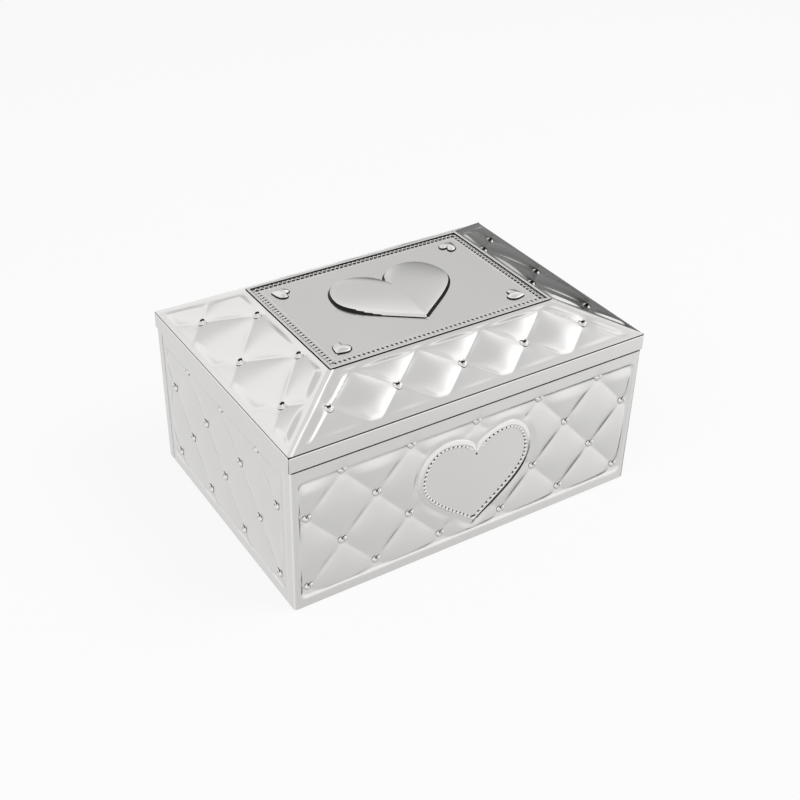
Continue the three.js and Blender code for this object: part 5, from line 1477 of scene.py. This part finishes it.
def addHair():
    d = doll

    def place(x, y, z):
        # the hairline is high over the brow and low at the nape
        around = np.arctan2(x, -y)
        line = d["hairline"] - d["napeDrop"] * smooth(np.abs(around), 0.6, 2.2)
        strands = d["strandDepth"] * np.sin(around * d["strands"] + 3 * z)
        size = d["hairUnder"] + (d["hairOver"] + strands) * smooth(z - line, -0.05, 0.12)
        jaw = 1 - d["jawTaper"] * smooth(-z, 0.05, 1.0)
        return x * d["headWide"] * size * jaw, y * d["headDeep"] * size, z * d["headTall"] * size + d["head"]

    middle = Vector((0, d["bunBack"], d["head"] + d["bunRise"]))
    cap = reshape(addBall("hairCap"), place)
    bun = addBall("bun", middle, (d["bunRadius"],) * 3, 28, 18)
    for vertex in bun.data.vertices:
        local = vertex.co / mm - middle
        wave = math.sin(math.atan2(local.z, local.x) * 7 + local.y * 5)
        vertex.co += local.normalized() * d["bunTwist"] * wave * mm
    return join("hair", [cap, bun])


def addFace():
    d = doll
    front = -d["headDeep"]
    eyes = []
    steps = np.linspace(-0.5, 0.5, 9)
    for side in (-1, 1):
        for name, out, wide, deep, rise, arch, wire in (("lash", 0.40, 0.34, 0.11, 0.03, 0.10, 0.055),
                                                        ("brow", 0.42, 0.4, 0.12, 0.42, 0.09, 0.04)):
            line = [(side * (out + wide * s), front * (0.93 - deep * (s + 0.5)),
                     d["head"] + rise + arch * (1 - 4 * s * s)) for s in steps]
            eyes.append(addWire(name, line, wire, 6))
        eyes.append(addBall("eye", (side * 0.66, front * 0.865, d["head"] - 0.03), (0.17, 0.10, 0.11), 12, 8))
    lips = addBall("lips", (0, front * 0.90, d["head"] - 1.22), (0.34, 0.12, 0.11), 16, 10)
    return join("eyes", eyes), lips


def addBodice():
    d = doll
    body = loft("bodiceBody", [
        (d["hip"] - 1.9, 0, 0.1, 1.9, 1.55), (d["hip"], 0, 0.1, 2.55, 1.95),
        (d["hip"] + 2.2, 0, 0.05, 2.15, 1.6), (d["waist"], 0, 0, 1.68, 1.32),
        (d["waist"] + 2.4, 0, -0.05, 2.0, 1.5), (d["chest"], 0, -0.15, 2.3, 1.72),
        (d["chest"] + 1.0, 0, -0.1, 2.35, 1.55), (d["chest"] + 1.25, 0, -0.1, 2.2, 1.4),
    ], 32, 44)

    def dipFront(x, y, z):
        dip = 0.45 * np.exp(-(x / 0.7) ** 2) * (y < 0)
        return x, y, z - dip * np.maximum(z - d["chest"], 0)

    parts = [reshape(body, dipFront)]
    for side in (-1, 1):
        strap = bent([(side * 1.3, -1.35, d["chest"] + 0.9), (side * 1.55, -0.1, d["shoulder"] + 0.62),
                      (side * 1.2, 1.15, d["chest"] + 1.0)], 16)
        parts.append(addWire("strap", strap, 0.16, 6))
    return join("bodice", parts)


tutu = {
    "height": 28.4, "inner": 1.9, "radius": 12.7, "layers": 4, "columns": 240, "rows": 14,
    "pleats": 22, "morePleats": 3, "pleatWave": 0.34, "slowWave": 0.18, "slowTurns": 5,
    "fineWave": 0.12, "edgeWave": 0.12, "shrink": 0.25, "lift": 0.75, "layerGap": 0.42,
    "sag": 0.1, "moreSag": 0.38, "sagPower": 1.4, "merge": 0.005,
}


def tutuLayer(layer):
    k = tutu
    pleats = k["pleats"] + k["morePleats"] * layer

    def place(u, v):
        angle = u * 2 * math.pi
        reach = k["inner"] + (k["radius"] - k["shrink"] * layer - k["inner"]) * v
        share = reach / k["radius"]
        wave = share * (k["pleatWave"] * np.sin(angle * pleats + layer)
                        + k["slowWave"] * np.sin(angle * k["slowTurns"] + 1.7 * layer)
                        + k["fineWave"] * np.sin(angle * (pleats * 2 + 5) + 2 * layer))
        height = (k["height"] + k["lift"] - k["layerGap"] * layer
                  - (k["sag"] + k["moreSag"] * layer) * share ** k["sagPower"]
                  + wave * smooth(share, 0.15, 0.7))
        reach = reach + k["edgeWave"] * np.sin(angle * pleats * 3 + layer) * smooth(v, 0.85, 1)
        return reach * np.cos(angle), reach * np.sin(angle), height

    return mergeDoubles(addGrid("layer", k["columns"], k["rows"], place), k["merge"])


def addTutu():
    skirt = join("tutuSkirt", [tutuLayer(layer) for layer in range(tutu["layers"])])
    skirt.data.transform(layDown)
    settle(skirt, "ballerina", "tulle", ["tutu"], 60)


layPiece(addTorso(), skin, ["figure"])
layPiece(addLegs(), skin)
layPiece(addShoes(), satin)
layPiece(addHair(), hairPaint)
eyes, lips = addFace()
layPiece(eyes, eyePaint)
layPiece(lips, lipPaint)
layPiece(addBodice(), satin)
addTutu()


# The doll's spring stands straight when the lid is open; here it is built lying over a quarter bend, as when
# the lid is shut
def restPoint(x, deep, height):
    # the share of the bend at a point depends on where the bend puts it, and is found by halving
    half = doll["springHalf"]
    low = 0.0
    high = 1.0
    for step in range(doll["halvings"]):
        weight = (low + high) / 2
        lean = weight * math.pi / 2
        # back from upright: the turn about -X undone
        y = deep * math.cos(lean) - height * math.sin(lean)
        z = deep * math.sin(lean) + height * math.cos(lean)
        if smooth(z - y, -half, half) > weight:
            low = weight
        else:
            high = weight
    return Vector((x, y, z))


def addDollSpring():
    d = doll
    half = d["springHalf"]
    share = np.linspace(0, 1, d["coilPoints"])
    radius = d["springRadius"] * (1 - d["springWaist"] * np.sin(math.pi * share))
    height = (2 * share - 1) * (half - d["wire"] - d["springEnd"])
    spring = addWire("dollSpring", helix(radius, share * d["turns"] * 2 * math.pi, height), d["wire"])
    for vertex in spring.data.vertices:
        vertex.co = (foldPoint + restPoint(*(vertex.co / mm))) * mm
    settleSpring(spring, "steel", "doll_spring")


addDollSpring()
print("doll made")

for shape in (studShape, lidStudShape, beadShape, stirrupShape):
    bpy.data.objects.remove(shape)
